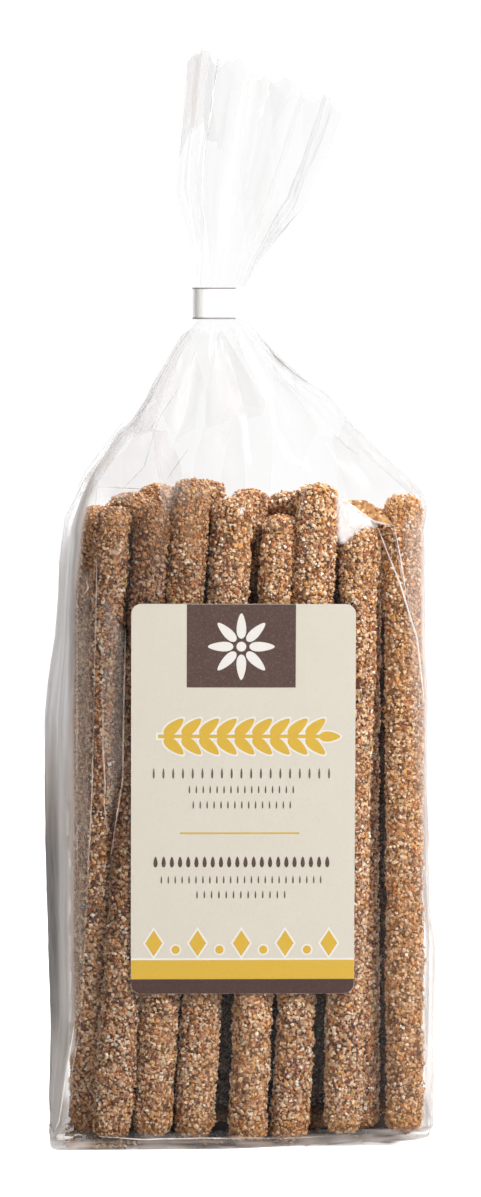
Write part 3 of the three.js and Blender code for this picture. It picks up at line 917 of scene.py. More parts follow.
    # Crumpling pushes the film in and out along its own normal, least where it lies tight on the sticks.
    alongRing = np.roll(grid, -1, axis=1) - np.roll(grid, 1, axis=1)
    upRing = np.gradient(grid, axis=0)
    normal = np.cross(alongRing, upRing)
    normal = normal / np.maximum(np.linalg.norm(normal, axis=-1, keepdims=True), 1e-9)
    tight = onFace * draped
    body = smooth(levels, 6, 20) * (1 - smooth(levels, 190, 205))
    foot = smooth(levels, 0.5, 2) * (1 - smooth(levels, 6, 12))
    amount = body * (crumples["body"] * (1 - tight) + crumples["onSticks"] * tight)
    amount = amount + crumples["foot"] * foot + crumples["shoulder"] * inShoulder + crumples["fan"] * inFan
    flow = grid * (1, 1, 0.35)
    crumple = 0.7 * ridges(flow, 21, 1) + 0.35 * ridges(flow, 9, 2) + 0.12 * ridges(grid, 6.0, 3)
    creased = ridges(grid * (0.35, 1, 1), 4.0, 4)
    crease = crumples["footCrease"] * foot * (creased - 0.5)
    grid = grid + normal * (amount * (crumple - 0.65) + crease)[..., None]
    grid[..., 2] = np.maximum(grid[..., 2], 0.05)
    return grid


film = filmGrid()
print("film shaped")


# Painted reflections, highlights and shade on the front film, seen from the front in millimetres: an outline,
# how dense the painted sheet is at most, how light it is, and how far it fades inside its edge.
paintedSheets = (
    # The folded edge at the left as a painted reflection, and two narrow painted reflections beside it.
    {"outline": ((-50, 213), (-43, 213), (-45.7, 199.4), (-47.8, 190.3), (-48.6, 182.4), (-50.0, 169),
                 (-50.6, 138), (-50.8, 60), (-50.6, 30), (-56.0, 24), (-57.2, 138), (-55.8, 169), (-53.7, 187),
                 (-51.2, 199)),
     "dense": 0.90, "light": 0.56, "fade": 2.0},
    {"outline": ((-50.3, 181), (-45.8, 176), (-46, 108), (-47.3, 77), (-49.2, 40), (-53.6, 40), (-53.4, 166)),
     "dense": 0.32, "light": 0.26, "fade": 1.6},
    {"outline": ((-42.6, 174), (-36, 158), (-36.4, 120), (-38.7, 108), (-40.3, 100), (-41.7, 108),
                 (-42.6, 122)),
     "dense": 0.34, "light": 0.30, "fade": 0.9},
    # A painted reflection on the folded edge at the right, a painted highlight on the turned-over film at its
    # top, and a painted reflection over the left tops.
    {"outline": ((47.9, 194), (56.0, 197), (58.5, 150), (59.5, 8), (54.6, 8), (53, 107), (49.2, 163)),
     "dense": 0.30, "light": 0.62, "fade": 2.5},
    {"outline": ((28.6, 201), (31.7, 199.2), (37.2, 194.1), (41.8, 191.3), (36.3, 190), (31, 185.5),
                 (28.8, 187)),
     "dense": 0.97, "light": 0.97, "fade": 0.8},
    {"outline": ((-44.5, 203.3), (-28.4, 202.7), (-36.3, 199.3), (-43.3, 197.2)),
     "dense": 0.45, "light": 0.62, "fade": 1.5},
    # Painted light on the folded corner at the left of the base, and painted shade on the base's own front.
    {"outline": ((-61, 44), (-52.5, 40), (-52.0, 16), (-54.5, 6), (-61, 1)),
     "dense": 0.92, "light": 0.42, "fade": 1.5},
    {"outline": ((-61, 5.6), (-50, 4.4), (-30, 5.0), (0, 4.2), (30, 5.4), (52, 6.2), (60, 8), (60, -1),
                 (-61, -1)),
     "dense": 0.70, "light": 0.13, "fade": 1.5},
)
# The side panels' painted grey of reflection and shade, the painted shade round the base with its level
# streaks of painted light, and painted reflections in patches on the shoulders and the fan, more at the left.
panelPlan = {
    "dense": 0.96, "lightLow": 0.07, "lightHigh": 0.84, "from": 84.0, "to": 140.0, "leftFade": -2.0,
    "rightFade": -1.8, "full": 0.8, "rightShare": 0.85, "rightLight": 0.70, "edgeLight": 0.30,
    "lowLight": 0.25,
}
basePlan = {"dense": 0.72, "light": 0.20, "frontStreaks": 0.40, "backStreaks": 0.20}
patchPlan = {
    "shoulders": 0.62, "fan": 0.50, "leftward": ((-60, 1), (-38, 0.9), (-14, 0.35), (15, 0.12), (60, 0.12)),
}


def insideOf(outline, x, z):
    # How far each place is inside a closed outline, in millimetres, and less than 0 outside.
    outline = np.array(outline, float)
    nearest = np.full(x.shape, 1e9)
    inside = np.zeros(x.shape, bool)
    for (ax, az), (bx, bz) in zip(outline, np.roll(outline, -1, axis=0)):
        dx, dz = bx - ax, bz - az
        along = np.clip(((x - ax) * dx + (z - az) * dz) / (dx ** 2 + dz ** 2), 0, 1)
        nearest = np.minimum(nearest, np.hypot(x - ax - along * dx, z - az - along * dz))
        if az != bz:
            inside ^= ((az > z) != (bz > z)) & (x < ax + (z - az) / dz * dx)
    return np.where(inside, nearest, -nearest)


def laidOver(paintedLightAndHaze, share, tone):
    # Lays one more painted sheet over the painted light so far, which is how dense and how light it is.
    dense, light = paintedLightAndHaze
    light = light + (tone - light) * share / np.maximum(dense + share, 1e-6)
    return dense + share * (1 - dense), light


def sidePanels(grid):
    # They turn away from the front, so they are painted as a grey sheet of reflection and shade, at the left
    # lighter higher up.
    plan, x, z = panelPlan, grid[..., 0], grid[..., 2]
    left = x < 0
    frontLeft = follow(leftEdge, z) + follow(leftFrontIn, z)
    frontRight = follow(rightEdge, z) - follow(rightFrontIn, z)
    outside = np.where(left, frontLeft - x, x - frontRight)
    panel = smooth(outside, np.where(left, plan["leftFade"], plan["rightFade"]), plan["full"])
    panel = panel * (1 - smooth(z, 175, 200)) * smooth(z, 2, 10)
    panel = panel * np.where(left, 1.0, plan["rightShare"]) * (0.88 + 0.24 * lumps(grid * (1, 1, 0.18), 4, 8))
    higher = smooth(z, plan["from"], plan["to"])
    tone = plan["lightLow"] + (plan["lightHigh"] - plan["lightLow"]) * higher
    tone = tone + plan["edgeLight"] * smooth(-outside, -3.4, -1.6) * (1 - higher) * smooth(z, 30, 45)
    tone = tone + plan["lowLight"] * (1 - smooth(z, 24, 40))
    tone = np.where(left, tone, plan["rightLight"]) * (1 + 0.30 * lumps(grid * (1, 1, 0.12), 3, 9))
    return plan["dense"] * panel, tone


def paintedVeilOf(grid):
    # How much painted reflection and shade the film carries at each place, how light it is, how much painted
    # reflection lies in patches, and where it shows only at a flat angle.
    x, y, z = grid[..., 0], grid[..., 1], grid[..., 2]
    paintedLightAndHaze = np.zeros(x.shape), np.full(x.shape, 0.6)
    cloudy = 0.8 + 0.35 * lumps(grid * (1, 1, 0.3), 5, 6)
    for veil in paintedSheets:
        share = veil["dense"] * smooth(insideOf(veil["outline"], x, z), 0, veil["fade"]) * (y < 0)
        paintedLightAndHaze = laidOver(paintedLightAndHaze, share * cloudy, veil["light"])
    paintedLightAndHaze = laidOver(paintedLightAndHaze, *sidePanels(grid))
    # Painted shade on the film round the back of the base, and level streaks of painted light low down.
    dense, light = laidOver(paintedLightAndHaze, basePlan["dense"] * (1 - smooth(z, 6, 10)) * (y > 4), basePlan["light"])
    streaks = ridges(grid * (0.10, 0.10, 1), 1.5, 12) * (1 - smooth(z, 5, 7.5))
    light = light + np.where(y < 0, basePlan["frontStreaks"], basePlan["backStreaks"]) * streaks
    # Painted reflections in patches on the shoulders and the fan, more at the left.
    onShoulders = smooth(z, 192, 204) * (1 - smooth(z, 248, 256))
    patches = patchPlan["shoulders"] * onShoulders + patchPlan["fan"] * smooth(z, 266, 280)
    patches = patches * follow(patchPlan["leftward"], x)
    # Behind the front corners the painted sheet is only what the film mirrors at a flat angle.
    flatOnly = smooth(y, -16.5, -12) * smooth(z, 7, 12) * (1 - smooth(y, 15, 18.5))
    return np.clip(dense, 0, 1), np.clip(light, 0, 1), patches, flatOnly


# How much the film mirrors face on and at a flat angle, its haze, how open it has to be seen for the painted
# reflection that shows only at a flat angle to go, and how rough and metallic it is.
filmLook = {
    "mirror": 0.016, "flatMirror": 0.45, "flatPower": 3.6, "haze": 0.015, "openTo": 0.35, "flatFrom": 0.75,
    "gone": 0.9, "rough": 0.12, "paintedLightRough": 0.35, "metallic": 0.9,
}


def filmFinish():
    # Clear stiff film: mirror-like where it turns away, and carrying painted reflection and shade where
    # its own attributes say so.
    material, tree, shader = startMaterial("clearFilm")
    look, crinkle = filmLook, useGroup(tree, filmCrinkleGroup)
    facing = addNode(tree, "ShaderNodeLayerWeight", {"Blend": 0.5})
    shape = addNode(tree, "ShaderNodeLayerWeight", {"Blend": 0.5})
    flat = math2(tree, "POWER", facing.outputs["Facing"], look["flatPower"])
    steep = times(tree, flat, look["flatMirror"])
    paintedFacets = times(tree, crinkle.outputs["Facet"], attributeOf(tree, "patches"))
    seenFlat = maskRamp(tree, shape.outputs["Facing"], look["openTo"], look["flatFrom"])
    openShare = minus(tree, 1.0, seenFlat)
    hidden = times(tree, attributeOf(tree, "flatOnly"), openShare)
    hidden = times(tree, hidden, look["gone"])
    kept = times(tree, attributeOf(tree, "veil"), minus(tree, 1.0, hidden))
    paintedLightAndHaze = plus(tree, kept, paintedFacets, True)
    paintedLightAndHaze = plus(tree, paintedLightAndHaze, times(tree, crinkle.outputs["Haze"], look["haze"]), True)
    clear = minus(tree, 1.0, paintedLightAndHaze)
    mirror = times(tree, clear, plus(tree, steep, look["mirror"]))
    alpha = plus(tree, paintedLightAndHaze, mirror, True)
    # The colour of the painted light and shade, against the pale colour that tints the mirror.
    paintedLightShare = math2(tree, "DIVIDE", paintedLightAndHaze, plus(tree, alpha, 0.0001), True)
    paintedLightColour = ramp(tree, attributeOf(tree, "veilLight"), [
        (0.0, tint(48, 36, 30)), (0.2, tint(128, 114, 102)),
        (0.5, tint(188, 178, 172)), (1.0, tint(250, 249, 250)),
    ])
    metal = times(tree, minus(tree, 1.0, paintedLightShare), look["metallic"])
    rough = plus(tree, times(tree, paintedLightShare, look["paintedLightRough"]), look["rough"])
    bump = addBump(tree, shader, crinkle.outputs["Height"], 0.3, 0.0015)
    wire(tree, (bump, facing.inputs["Normal"]), (withoutShadow(tree, alpha), shader.inputs["Alpha"]),
         (mixColours(tree, paintedLightShare, tint(240, 242, 245), paintedLightColour), shader.inputs["Base Color"]),
         (metal, shader.inputs["Metallic"]), (rough, shader.inputs["Roughness"]))
    return material


def foldFinish(name, colour, dense):
    # A pressed fold of the film, thicker, whose colour is painted light, pale for a highlight and grey for a
    # reflection.
    material, tree, shader = startMaterial(name)
    crinkle = useGroup(tree, filmCrinkleGroup, {"Size": 2.0})
    alpha = plus(tree, times(tree, crinkle.outputs["Haze"], 0.45), dense, True)
    setColour(tree, shader, colour, 0.3)
    wire(tree, (withoutShadow(tree, alpha), shader.inputs["Alpha"]))
    return material


def addFilm():
    rings, columns = film.shape[:2]
    places = film.reshape(-1, 3)
    faces = gridFaces(rings, columns)
    # The base is the lowest ring drawn in to the middle.
    inward = [film[0] * (s, s, 1) for s in (0.75, 0.5, 0.25)]
    start = len(places)
    order = [0] + [start + number * columns for number in range(3)]
    places = np.concatenate([places, *inward, [[0, 0, 0.05]]])
    for near, far in zip(order, order[1:]):
        for column in range(columns):
            after = (column + 1) % columns
            faces.append((near + after, near + column, far + column, far + after))
    last = order[-1]
    faces += [(last + (column + 1) % columns, last + column, len(places) - 1) for column in range(columns)]
    mesh = meshFrom("filmBag", places, faces, filmFinish())
    # The base's inner part is a sheet of painted shade without patches.
    inner = len(places) - rings * columns
    values = zip(("veil", "veilLight", "patches", "flatOnly"), paintedVeilOf(film), (0.6, 0.06, 0.0, 0.0))
    for name, around, below in values:
        addFloats(mesh, **{name: np.append(around.ravel(), np.full(inner, below))})
    addPiece("filmBag", mesh, stands=("bag",))


def frontPoint(x, z):
    # The film's front surface at one place seen from the front.
    ring = int(np.argmin(np.abs(film[:, :, 2].mean(axis=1) - z)))
    row = film[ring]
    front = row[row[:, 1] <= np.median(row[:, 1])]
    front = front[np.argsort(front[:, 0])]
    return np.array([x, np.interp(x, front[:, 0], front[:, 1]), z])


# Pressed folds, by the painted light they show: the bright and shining ones carry painted highlights and
# the grey ones painted reflections. Places across and up the front, and the width of the fold.
brightFolds = (
    (((-44.3, 181), (-46.0, 110), (-49.8, 38), (-56.1, 4)), 0.4),
    (((-50.3, 181), (-50.5, 130), (-50.6, 77)), 0.3),
    (((-42.8, 160), (-42.6, 123), (-42.0, 113), (-42.3, 106), (-41.2, 97)), 0.55),
    (((-35.6, 160), (-36.2, 138), (-36.6, 114), (-38.7, 101), (-40.2, 91)), 0.55),
    (((45.3, 191.4), (46.5, 186.4), (48.6, 175.3), (51.6, 165.2)), 0.5),
    (((48.5, 201), (51.5, 197.5), (54.6, 195.5)), 0.8),
    (((19.3, 204.5), (18.0, 197.5), (16.8, 193)), 0.5),
    (((-47.6, 175), (-46.9, 172.6), (-49.2, 169.6)), 0.35),
    (((55.4, 42.5), (56.4, 27), (55.8, 6.8)), 0.6),
    (((-20, 3.4), (-4, 3.9), (12, 3.3), (26, 3.9)), 0.5),
)
shiningFolds = (
    (((32.4, 198.4), (36.2, 195.2), (40.2, 192.5), (46.4, 191.3)), 0.7),
    (((41.0, 191.4), (44.5, 182.4), (48.1, 173.3), (50.6, 165.2), (53.2, 157), (55.4, 138)), 0.55),
    (((46.2, 191.0), (48.2, 181.0), (49.6, 172.0)), 0.4),
    (((57.2, 136), (57.4, 110), (56.9, 84), (58.2, 62), (58.0, 40), (58.2, 9)), 0.35),
    (((-51.6, 38.3), (-54.2, 23), (-56.4, 8.3), (-59.4, 3)), 0.5),
    (((-60.0, 5.2), (-57, 4.0), (-52, 4.2)), 1.2),
    (((-44, 4.4), (-30, 3.4), (-12, 3.8), (0, 3.3)), 0.4),
)
greyFolds = (
    (((27.8, 219.4), (31.9, 215.4), (35.5, 212.8)), 0.7),
    (((-22.8, 240), (-28.4, 228.8), (-32.6, 223.2), (-39.7, 214.1), (-43.9, 208.4), (-44.6, 197.9)), 0.5),
    (((-19.3, 233), (-25.6, 223.2), (-29.9, 209.1), (-36.2, 202.8)), 0.4),
    (((-16.5, 214.7), (-22.8, 205.7)), 0.4),
    (((-43.9, 203.2), (-28.6, 202.5)), 0.4),
    (((-50.0, 203), (-47.5, 208), (-40.5, 217), (-36.0, 223)), 0.4),
)


# A fold lies proud of the film, and its crest stands out by a share of its width.
foldPlan = {"proud": 0.25, "crest": 0.35, "step": 1.2}


def addFolds(name, folds, material):
    places, faces = [], []
    for line, width in folds:
        line = np.array(line, float)
        reach = np.concatenate([[0], np.cumsum(np.hypot(*np.diff(line, axis=0).T))])
        steps = max(6, int(reach[-1] / foldPlan["step"]))
        run = np.linspace(0, reach[-1], steps)
        across, up = (np.interp(run, reach, column) for column in line.T)
        path = np.array([frontPoint(x, z) for x, z in zip(across, up)])
        path[:, 1] -= foldPlan["proud"]
        ahead = np.gradient(path, axis=0)
        side = np.cross(ahead, (0, -1, 0))
        side /= np.linalg.norm(side, axis=1, keepdims=True)
        half = width / 2 * np.sqrt(np.sin(np.pi * np.linspace(0.02, 0.98, steps)))[:, None]
        crest = path + np.array([0, -foldPlan["crest"] * width, 0]) * half / (width / 2)
        start = len(places)
        for near, high, far in zip(path - side * half, crest, path + side * half):
            places += [near, high, far]
        for step in range(steps - 1):
            a = start + 3 * step
            faces += [(a, a + 1, a + 4, a + 3), (a + 1, a + 2, a + 5, a + 4)]
    addPiece(name, meshFrom(name, places, faces, material))


# Upper and lower edge of the fold at the right, where the film turns over and mirrors the sticks' tops.
mirrorFold = {
    "upper": ((32.1, 199.1), (37.4, 199.1), (41.5, 196.7), (46.1, 191.6)),
    "lower": ((32.1, 199.0), (36.1, 195.3), (40.1, 192.6), (46.0, 191.4)),
    "steps": 24, "rows": 5, "proud": 0.06,
}


def addMirrorFold():
    plan = mirrorFold
    run = np.linspace(0, 3, plan["steps"])
    upper, lower = (
        np.stack([np.interp(run, range(4), side) for side in zip(*plan[edge])], -1)
        for edge in ("upper", "lower")
    )
    places = []
    for share in np.linspace(0, 1, plan["rows"]):
        for x, z in lower + share * (upper - lower):
            places.append(frontPoint(x, z) - (0, plan["proud"], 0))
    # The sheet's colour is a painted reflection of the sticks' tops.
    material, tree, shader = startMaterial("mirroredSticks")
    crumbs = useGroup(tree, crumbReliefGroup, {"Scale": 1100.0})
    colour = ramp(tree, crumbs.outputs["Tone"], [
        (0.0, tint(116, 68, 40)), (0.45, tint(186, 132, 84)),
        (0.8, tint(226, 176, 116)), (1.0, tint(248, 222, 180)),
    ])
    setColour(tree, shader, colour, 0.3)
    mesh = meshFrom("mirrorFold", places, gridFaces(plan["rows"], plan["steps"], closed=False), material)
    addPiece("mirrorFold", mesh)


# A dark sheet of painted shade, which stands up inside between the middle and the back row, where the
# bag's floor lies in shadow behind the feet.
innerFold = {"left": -52.0, "right": 50.0, "back": 6, "low": 0.5, "high": 6.4, "steps": 103}


def addShadeSheet():
    plan = innerFold
    across = np.linspace(plan["left"], plan["right"], plan["steps"])
    line = np.stack([across, plan["back"] + 0 * across, 0 * across], -1)
    y = plan["back"] + 0.3 * lumps(line, 7, 15)
    bottom, top = plan["low"] + 0 * across, plan["high"] + 0.5 * lumps(line, 5, 16)
    places = np.concatenate([np.stack([across, y, edge], -1) for edge in (bottom, top)])
    material, tree, shader = startMaterial("shadedFold")
    # Painted shade: a dark brown for the unlit space under the sticks.
    setColour(tree, shader, tint(56, 42, 35), 0.45)
    mesh = meshFrom("innerFold", places, gridFaces(2, plan["steps"], closed=False), material)
    addPiece("innerFold", mesh)


addFilm()
addShadeSheet()
addMirrorFold()
# The folds' colours are painted highlights, and grey painted reflections on the shoulders.
addFolds("filmFolds", brightFolds, foldFinish("whitenedFold", tint(226, 214, 204), 0.16))
addFolds("shiningFolds", shiningFolds, foldFinish("shiningFold", tint(246, 242, 238), 0.5))
addFolds("shoulderFolds", greyFolds, foldFinish("greyFold", tint(170, 162, 158), 0.18))
print("film added")


# Label print, in millimetres from the label's lower left corner.
labelPlan = {
    "width": 68.4, "height": 119.6, "corner": 3.1, "left": -34.3, "low": 48.2, "front": -19.6, "tilt": 0.2,
    "inkProud": 0.03, "inkThick": 0.03,
}


def paperFinish(name, ink, speck, speckShare, roughness):
    material, tree, shader = startMaterial(name)
    fibre = useGroup(tree, paperFibreGroup)
    clouded = mixColours(tree, times(tree, fibre.outputs["Cloud"], 0.12), ink, speck)
    colour = mixColours(tree, times(tree, fibre.outputs["Specks"], speckShare), clouded, speck)
    addBump(tree, shader, fibre.outputs["Height"], 0.25, 0.0001)
    setColour(tree, shader, colour, roughness)
    return material


creamPaper = paperFinish("creamPaper", tint(206, 199, 185), tint(184, 174, 156), 0.25, 0.7)
brownInk = paperFinish("brownInk", tint(72, 49, 42), tint(134, 112, 104), 0.4, 0.75)
lowInk = paperFinish("lowInk", tint(64, 39, 34), tint(112, 90, 84), 0.3, 0.75)
yellowInk = paperFinish("yellowInk", tint(202, 162, 46), tint(214, 182, 98), 0.25, 0.6)
paleInk = paperFinish("paleInk", tint(222, 218, 212), tint(206, 198, 186), 0.2, 0.7)
greyInk = paperFinish("greyInk", tint(98, 80, 70), tint(156, 142, 130), 0.3, 0.7)
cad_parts["label"].data.materials.clear()
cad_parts["label"].data.materials.append(creamPaper)


def labelPlace(across, up, lift):
    turn = math.radians(labelPlan["tilt"])
    x = labelPlan["left"] + across * math.cos(turn) + up * math.sin(turn)
    z = labelPlan["low"] - across * math.sin(turn) + up * math.cos(turn)
    return (x, labelPlan["front"] - lift, z)


def addPrint(name, outlines, material, layer=0):
    # Flat prints on the paper: each outline runs anticlockwise seen from the front.
    places, faces = [], []
    for number, outline in enumerate(outlines):
        # Outlines of one print may overlap, so each lies a hair above the one before.
        low = labelPlan["inkProud"] * (0.3 + layer) + 0.0004 * number
        high = low + labelPlan["inkThick"]
        count, start = len(outline), len(places)
        places += [labelPlace(a, u, high) for a, u in outline] + [labelPlace(a, u, low) for a, u in outline]
        faces.append(tuple(range(start, start + count)))
        faces.append(tuple(range(start + 2 * count - 1, start + count - 1, -1)))
        faces += [(start + k, start + count + k, start + count + (k + 1) % count, start + (k + 1) % count)
                  for k in range(count)]
    addPiece(name, meshFrom(name, places, faces, material, smoothFaces=False))


def rectangle(left, low, right, high):
    return [(left, low), (right, low), (right, high), (left, high)]


def disc(across, up, radius, sides=24):
    turns = (2 * math.pi * k / sides for k in range(sides))
    return [(across + radius * math.cos(a), up + radius * math.sin(a)) for a in turns]


def diamond(across, up, wide, tall):
    return [(across - wide, up), (across, up - tall), (across + wide, up), (across, up + tall)]


def kernel(across, up, long, wide, turn, sides=18):
    # A pointed oval with its root at the given place.
    outline = []
    for k in range(sides):
        share = 2 * math.pi * k / sides
        along = long / 2 * (1 - math.cos(share))
        side = -wide / 2 * math.sin(share) * (0.75 + 0.25 * math.cos(share))
        outline.append((across + along * math.cos(turn) - side * math.sin(turn),
                        up + along * math.sin(turn) + side * math.cos(turn)))
    return outline


def roundedLow(left, low, right, high, corner, sides=8):
    # A band whose two lower corners follow the label's round ones.
    outline = [(left, high)]
    outline += [(left + corner - corner * math.cos(a), low + corner - corner * math.sin(a))
                for a in np.linspace(0, math.pi / 2, sides)]
    outline += [(right - corner + corner * math.sin(a), low + corner - corner * math.cos(a))
                for a in np.linspace(0, math.pi / 2, sides)]
    return outline + [(right, high)]


# The print's motifs: where they lie on the label, and their sizes.
rosette = {"middle": (33.5, 106.6), "petals": 8, "root": 2.4, "long": 7.8, "wide": 3.8, "eye": 1.5}
grainEar = {"up": 79.1, "left": 10.2, "pitch": 5.4, "pairs": 9, "turn": 0.72, "tip": 57.4}
border = {
    "left": 7.0, "pitch": 13.4, "diamonds": 5, "diamondUp": 15.6, "dotUp": 13.6,
    "bandHigh": 10.4, "bandLow": 4.5,
}
# Rows of small upright kernels: height on the label, left and right end, length and pitch.
markRows = (
    (66.1, 6.9, 60.4, 3.4, 2.9), (61.6, 17.8, 49.5, 2.5, 2.1), (56.9, 19.0, 48.6, 2.5, 2.1),
    (33.9, 9.3, 58.0, 2.5, 2.1), (29.3, 20.2, 47.0, 2.5, 2.1),
)


def printRosette():
    # The brown block at the top, with a plain rosette.
    plan, (across, up) = rosette, rosette["middle"]
    addPrint("labelBlock", [rectangle(16.9, 94.1, 50.1, labelPlan["height"] - 0.1)], brownInk)
    turns = np.arange(plan["petals"]) * 2 * math.pi / plan["petals"]
    roots = [(across + plan["root"] * math.cos(a), up + plan["root"] * math.sin(a)) for a in turns]
    petals = [kernel(*root, plan["long"], plan["wide"], a) for root, a in zip(roots, turns)]
    addPrint("labelRosette", petals + [disc(across, up, plan["eye"])], paleInk, 1)


def printEar():
    # A lying ear of grain in the place of a title, with a pale edge round each kernel.
    plan, up, tip = grainEar, grainEar["up"], grainEar["tip"]
    ear, rim = [rectangle(8.2, up - 0.5, 58.0, up + 0.6)], [rectangle(7.6, up - 1.1, 58.6, up + 1.2)]
    for k in range(plan["pairs"]):
        across = plan["left"] + plan["pitch"] * k
        for side in (1, -1):
            ear.append(kernel(across, up + side * 0.4, 7.6, 4.4, side * plan["turn"]))
            rim.append(kernel(across - 0.5, up + side * 0.1, 8.8, 5.6, side * plan["turn"]))
    ear.append(kernel(tip, up, 6.4, 4.0, 0.0))
    rim.append(kernel(tip - 0.6, up, 7.6, 5.2, 0.0))
    addPrint("labelEarRim", rim, paleInk)
    addPrint("labelEar", ear, yellowInk, 1)


def printMarks():
    marks, upright = [], math.pi / 2
    for up, left, right, tall, pitch in markRows:
        count = int((right - left) / pitch)
        for k in range(count + 1):
            marks.append(kernel(left + (right - left) * k / count, up, tall, 0.26 * tall, upright, 8))
    addPrint("labelMarks", marks, greyInk)
    thick = [kernel(7.5 + 2.5 * k, 38.9, 3.4, 1.7, upright, 10) for k in range(22)]
    addPrint("labelThickMarks", thick, brownInk)
    addPrint("labelRule", [rectangle(14.9, 49.2, 51.4, 49.7)], yellowInk)


def printBorder():
    # Diamonds and dots over the yellow and brown bands.
    plan, right = border, labelPlan["width"] - 0.05
    high, low = plan["bandHigh"], plan["bandLow"]
    diamonds, rims, dots = [], [], []
    for k in range(plan["diamonds"]):
        across = plan["left"] + plan["pitch"] * k
        diamonds.append(diamond(across, plan["diamondUp"], 2.6, 4.0))
        rims.append(diamond(across, plan["diamondUp"], 3.3, 5.0))
        if k < plan["diamonds"] - 1:
            dots.append(disc(across + plan["pitch"] / 2, plan["dotUp"], 1.25))
            rims.append(disc(across + plan["pitch"] / 2, plan["dotUp"], 1.75))
    addPrint("labelBorderRim", rims + [rectangle(0.1, high, right - 0.05, high + 0.6)], paleInk)
    addPrint("labelBorder", diamonds + dots, yellowInk, 1)
    addPrint("labelYellowBand", [rectangle(0.05, low, right, high)], yellowInk)
    addPrint("labelBrownBand", [roundedLow(0.05, 0.05, right, low, labelPlan["corner"])], lowInk)


printRosette()
printEar()
printMarks()
printBorder()
print("label printed")


def bandFinish():
    material, tree, shader = startMaterial("whiteBand")
    fibre = useGroup(tree, paperFibreGroup, {"Scale": 700.0})
    cloud = times(tree, fibre.outputs["Cloud"], 0.2)
    colour = mixColours(tree, cloud, tint(246, 245, 242), tint(222, 220, 214))
    addBump(tree, shader, fibre.outputs["Height"], 0.15, 0.0002)
    setColour(tree, shader, colour, 0.42)
    return material


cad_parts["clip_band"].data.materials.clear()
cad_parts["clip_band"].data.materials.append(bandFinish())


# The band's rolled rims, one along each edge of the strip.
rimPlan = {"long": 16.8, "thick": 0.26, "sides": 6, "round": 20}


def rimFinish():
    # Grey at the left, where the rim is in shade, and fading to the band's white further right.
    material, tree, shader = startMaterial("rolledRim")
    place, split = addNode(tree, "ShaderNodeTexCoord"), addNode(tree, "ShaderNodeSeparateXYZ")
    wire(tree, (place.outputs["Object"], split.inputs[0]))
    colour = ramp(tree, maskRamp(tree, split.outputs["X"], -0.004, 0.006), [
        (0.0, tint(150, 146, 142)), (0.6, tint(178, 175, 172)), (1.0, tint(240, 239, 237)),
    ])
    setColour(tree, shader, colour, 0.5)
    return material


def addBandRims():
    plan, (low, high) = rimPlan, (np.array(corner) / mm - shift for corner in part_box("clip_band"))
    radius = (high[1] - low[1]) / 2
    middle = np.array([low[0] + radius, 0.0])
    turn = np.linspace(math.pi / 2, 1.5 * math.pi, plan["round"])
    bend = middle + radius * np.stack([np.cos(turn), np.sin(turn)], -1)
    right = low[0] + plan["long"] - radius
    path = np.concatenate([[(right, radius)], bend, [(right, -radius)]])
    sides, places, faces = plan["sides"], [], []
    for height in (low[2], high[2]):
        start = len(places)
        for k, (px, py) in enumerate(path):
            ahead = path[min(k + 1, len(path) - 1)] - path[max(k - 1, 0)]
            side = np.array([ahead[1], -ahead[0]]) / np.hypot(*ahead)
            for share in np.arange(sides) / sides * 2 * math.pi:
                out, up = plan["thick"] * math.cos(share), plan["thick"] * math.sin(share)
                places.append((px + side[0] * out, py + side[1] * out, height + up))
        faces += [face[::-1] for face in gridFaces(len(path), sides, start)]
        last = start + (len(path) - 1) * sides
        faces.append(tuple(range(start, start + sides)))
        faces.append(tuple(range(last + sides - 1, last - 1, -1)))
    addPiece("bandRims", meshFrom("bandRims", places, faces, rimFinish()))


addBandRims()


# Studio: a white floor, soft lights, and a world that is white to the camera, dim to matt surfaces, and to
# glossy ones bright above and at the right and grey behind at the left.
studioPlan = {
    "floorSize": 6.0, "floorDrop": 0.0002, "footprint": (0.050, 0.018), "shadowReach": 0.03, "edge": 0.004,
    "glow": 1.02, "nearShade": 0.2, "underShade": 0.85, "mattWorld": 0.14, "lightAim": (0, 0, 0.15),
    "lights": (
        ("keyLight", (0.66, -0.72, 0.80), 0.26, 13.6),
        ("topLight", (0.10, 0.10, 1.10), 0.5, 7.2),
        ("fillLight", (-0.9, -0.9, 0.40), 0.6, 1.2),
        ("rimLeft", (-0.7, 0.75, 0.35), 0.35, 2.0),
        ("rimRight", (0.75, 0.7, 0.4), 0.35, 3.0),
    ),
}


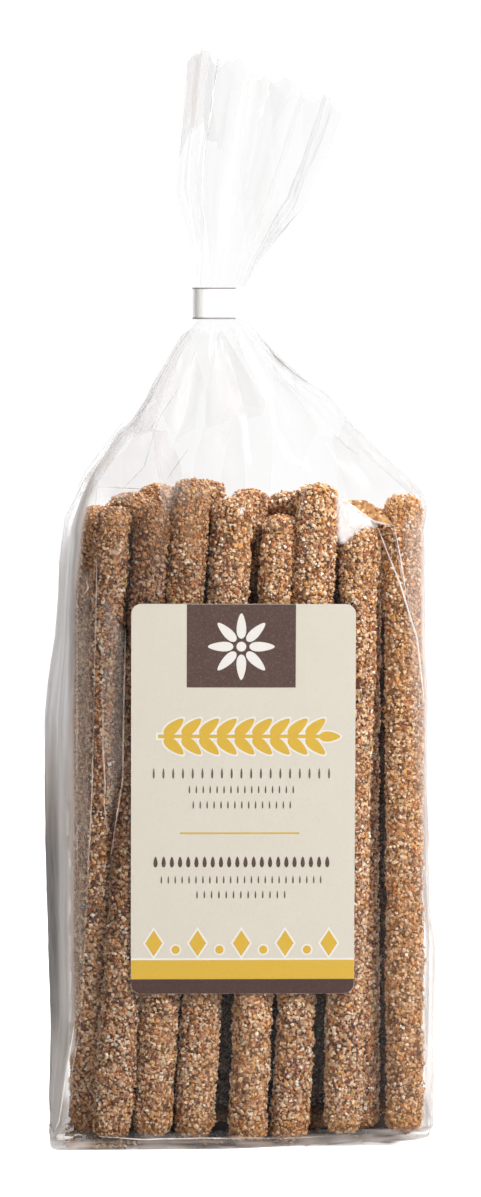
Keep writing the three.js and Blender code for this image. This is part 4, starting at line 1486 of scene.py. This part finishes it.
def addWorld():
    world = bpy.data.worlds.new("studio")
    bpy.context.scene.world = world
    world.use_nodes = True
    tree = world.node_tree
    matt = tree.nodes["Background"]
    gloss = addNode(tree, "ShaderNodeBackground")
    shown = addNode(tree, "ShaderNodeBackground", {"Color": (1, 1, 1, 1), "Strength": 1.0})
    path, direction = addNode(tree, "ShaderNodeLightPath"), addNode(tree, "ShaderNodeTexCoord")
    forGloss, forCamera = addNode(tree, "ShaderNodeMixShader"), addNode(tree, "ShaderNodeMixShader")
    split = addNode(tree, "ShaderNodeSeparateXYZ")
    wire(tree, (direction.outputs["Generated"], split.inputs[0]))
    across, up = split.outputs["X"], split.outputs["Z"]
    side = plus(tree, times(tree, maskRamp(tree, across, -0.6, 0.45), 0.72), 0.26)
    side = plus(tree, side, times(tree, maskRamp(tree, up, 0.25, 0.9), 0.25))
    front = maskRamp(tree, split.outputs["Y"], 0.0, -0.6)
    level = times(tree, side, minus(tree, 1.0, times(tree, front, 0.8)))
    matt.inputs["Strength"].default_value = studioPlan["mattWorld"]
    wire(tree, (level, gloss.inputs["Strength"]), (path.outputs["Is Glossy Ray"], forGloss.inputs[0]),
         (matt.outputs[0], forGloss.inputs[1]), (gloss.outputs[0], forGloss.inputs[2]),
         (path.outputs["Is Camera Ray"], forCamera.inputs[0]), (forGloss.outputs[0], forCamera.inputs[1]),
         (shown.outputs[0], forCamera.inputs[2]),
         (forCamera.outputs[0], tree.nodes["World Output"].inputs["Surface"]))
    matt.inputs["Color"].default_value = (1, 1, 1, 1)
    gloss.inputs["Color"].default_value = (1, 1, 1, 1)


def addFloor():
    plan, half = studioPlan, studioPlan["floorSize"] / 2
    mesh = bpy.data.meshes.new("floor")
    corners = [(x * half, y * half, -plan["floorDrop"]) for x, y in ((-1, -1), (1, -1), (1, 1), (-1, 1))]
    mesh.from_pydata(corners, [], [(0, 1, 2, 3)])
    floor = bpy.data.objects.new("floor", mesh)
    bpy.context.scene.collection.objects.link(floor)
    material, tree, shader = startMaterial("whiteFloor")
    setColour(tree, shader, (0.85, 0.85, 0.85, 1), 0.9)
    path, place = addNode(tree, "ShaderNodeLightPath"), addNode(tree, "ShaderNodeTexCoord")
    split = addNode(tree, "ShaderNodeSeparateXYZ")
    wire(tree, (place.outputs["Object"], split.inputs[0]))
    # How far a place is outside the bag's footprint, where the light of the white backdrop reaches the floor.
    beyond = [minus(tree, math2(tree, "ABSOLUTE", split.outputs[axis], 0.0), half)
              for axis, half in zip("XY", plan["footprint"])]
    furthest = math2(tree, "MAXIMUM", *beyond)
    # Painted shade under the bag, where the floor's glow is taken away, and a painted shadow fading round its
    # footprint.
    under = times(tree, maskRamp(tree, furthest, 0.0, -plan["edge"]), plan["underShade"])
    near = times(tree, maskRamp(tree, furthest, plan["shadowReach"], 0.0), plan["nearShade"])
    glow = minus(tree, plan["glow"], plus(tree, near, under))
    shader.inputs["Emission Color"].default_value = (1, 1, 1, 1)
    shown = times(tree, path.outputs["Is Camera Ray"], glow)
    wire(tree, (shown, shader.inputs["Emission Strength"]))
    mesh.materials.append(material)


def addStudio():
    scene = bpy.context.scene
    scene.view_settings.view_transform = "Standard"
    for name, place, size, power in studioPlan["lights"]:
        data = bpy.data.lights.new(name, "AREA")
        data.size = size
        data.energy = power
        light = bpy.data.objects.new(name, data)
        light.location = place
        towards = Vector(studioPlan["lightAim"]) - Vector(place)
        light.rotation_euler = towards.to_track_quat("-Z", "Y").to_euler()
        scene.collection.objects.link(light)
    addWorld()
    addFloor()


addStudio()
print("studio lit")
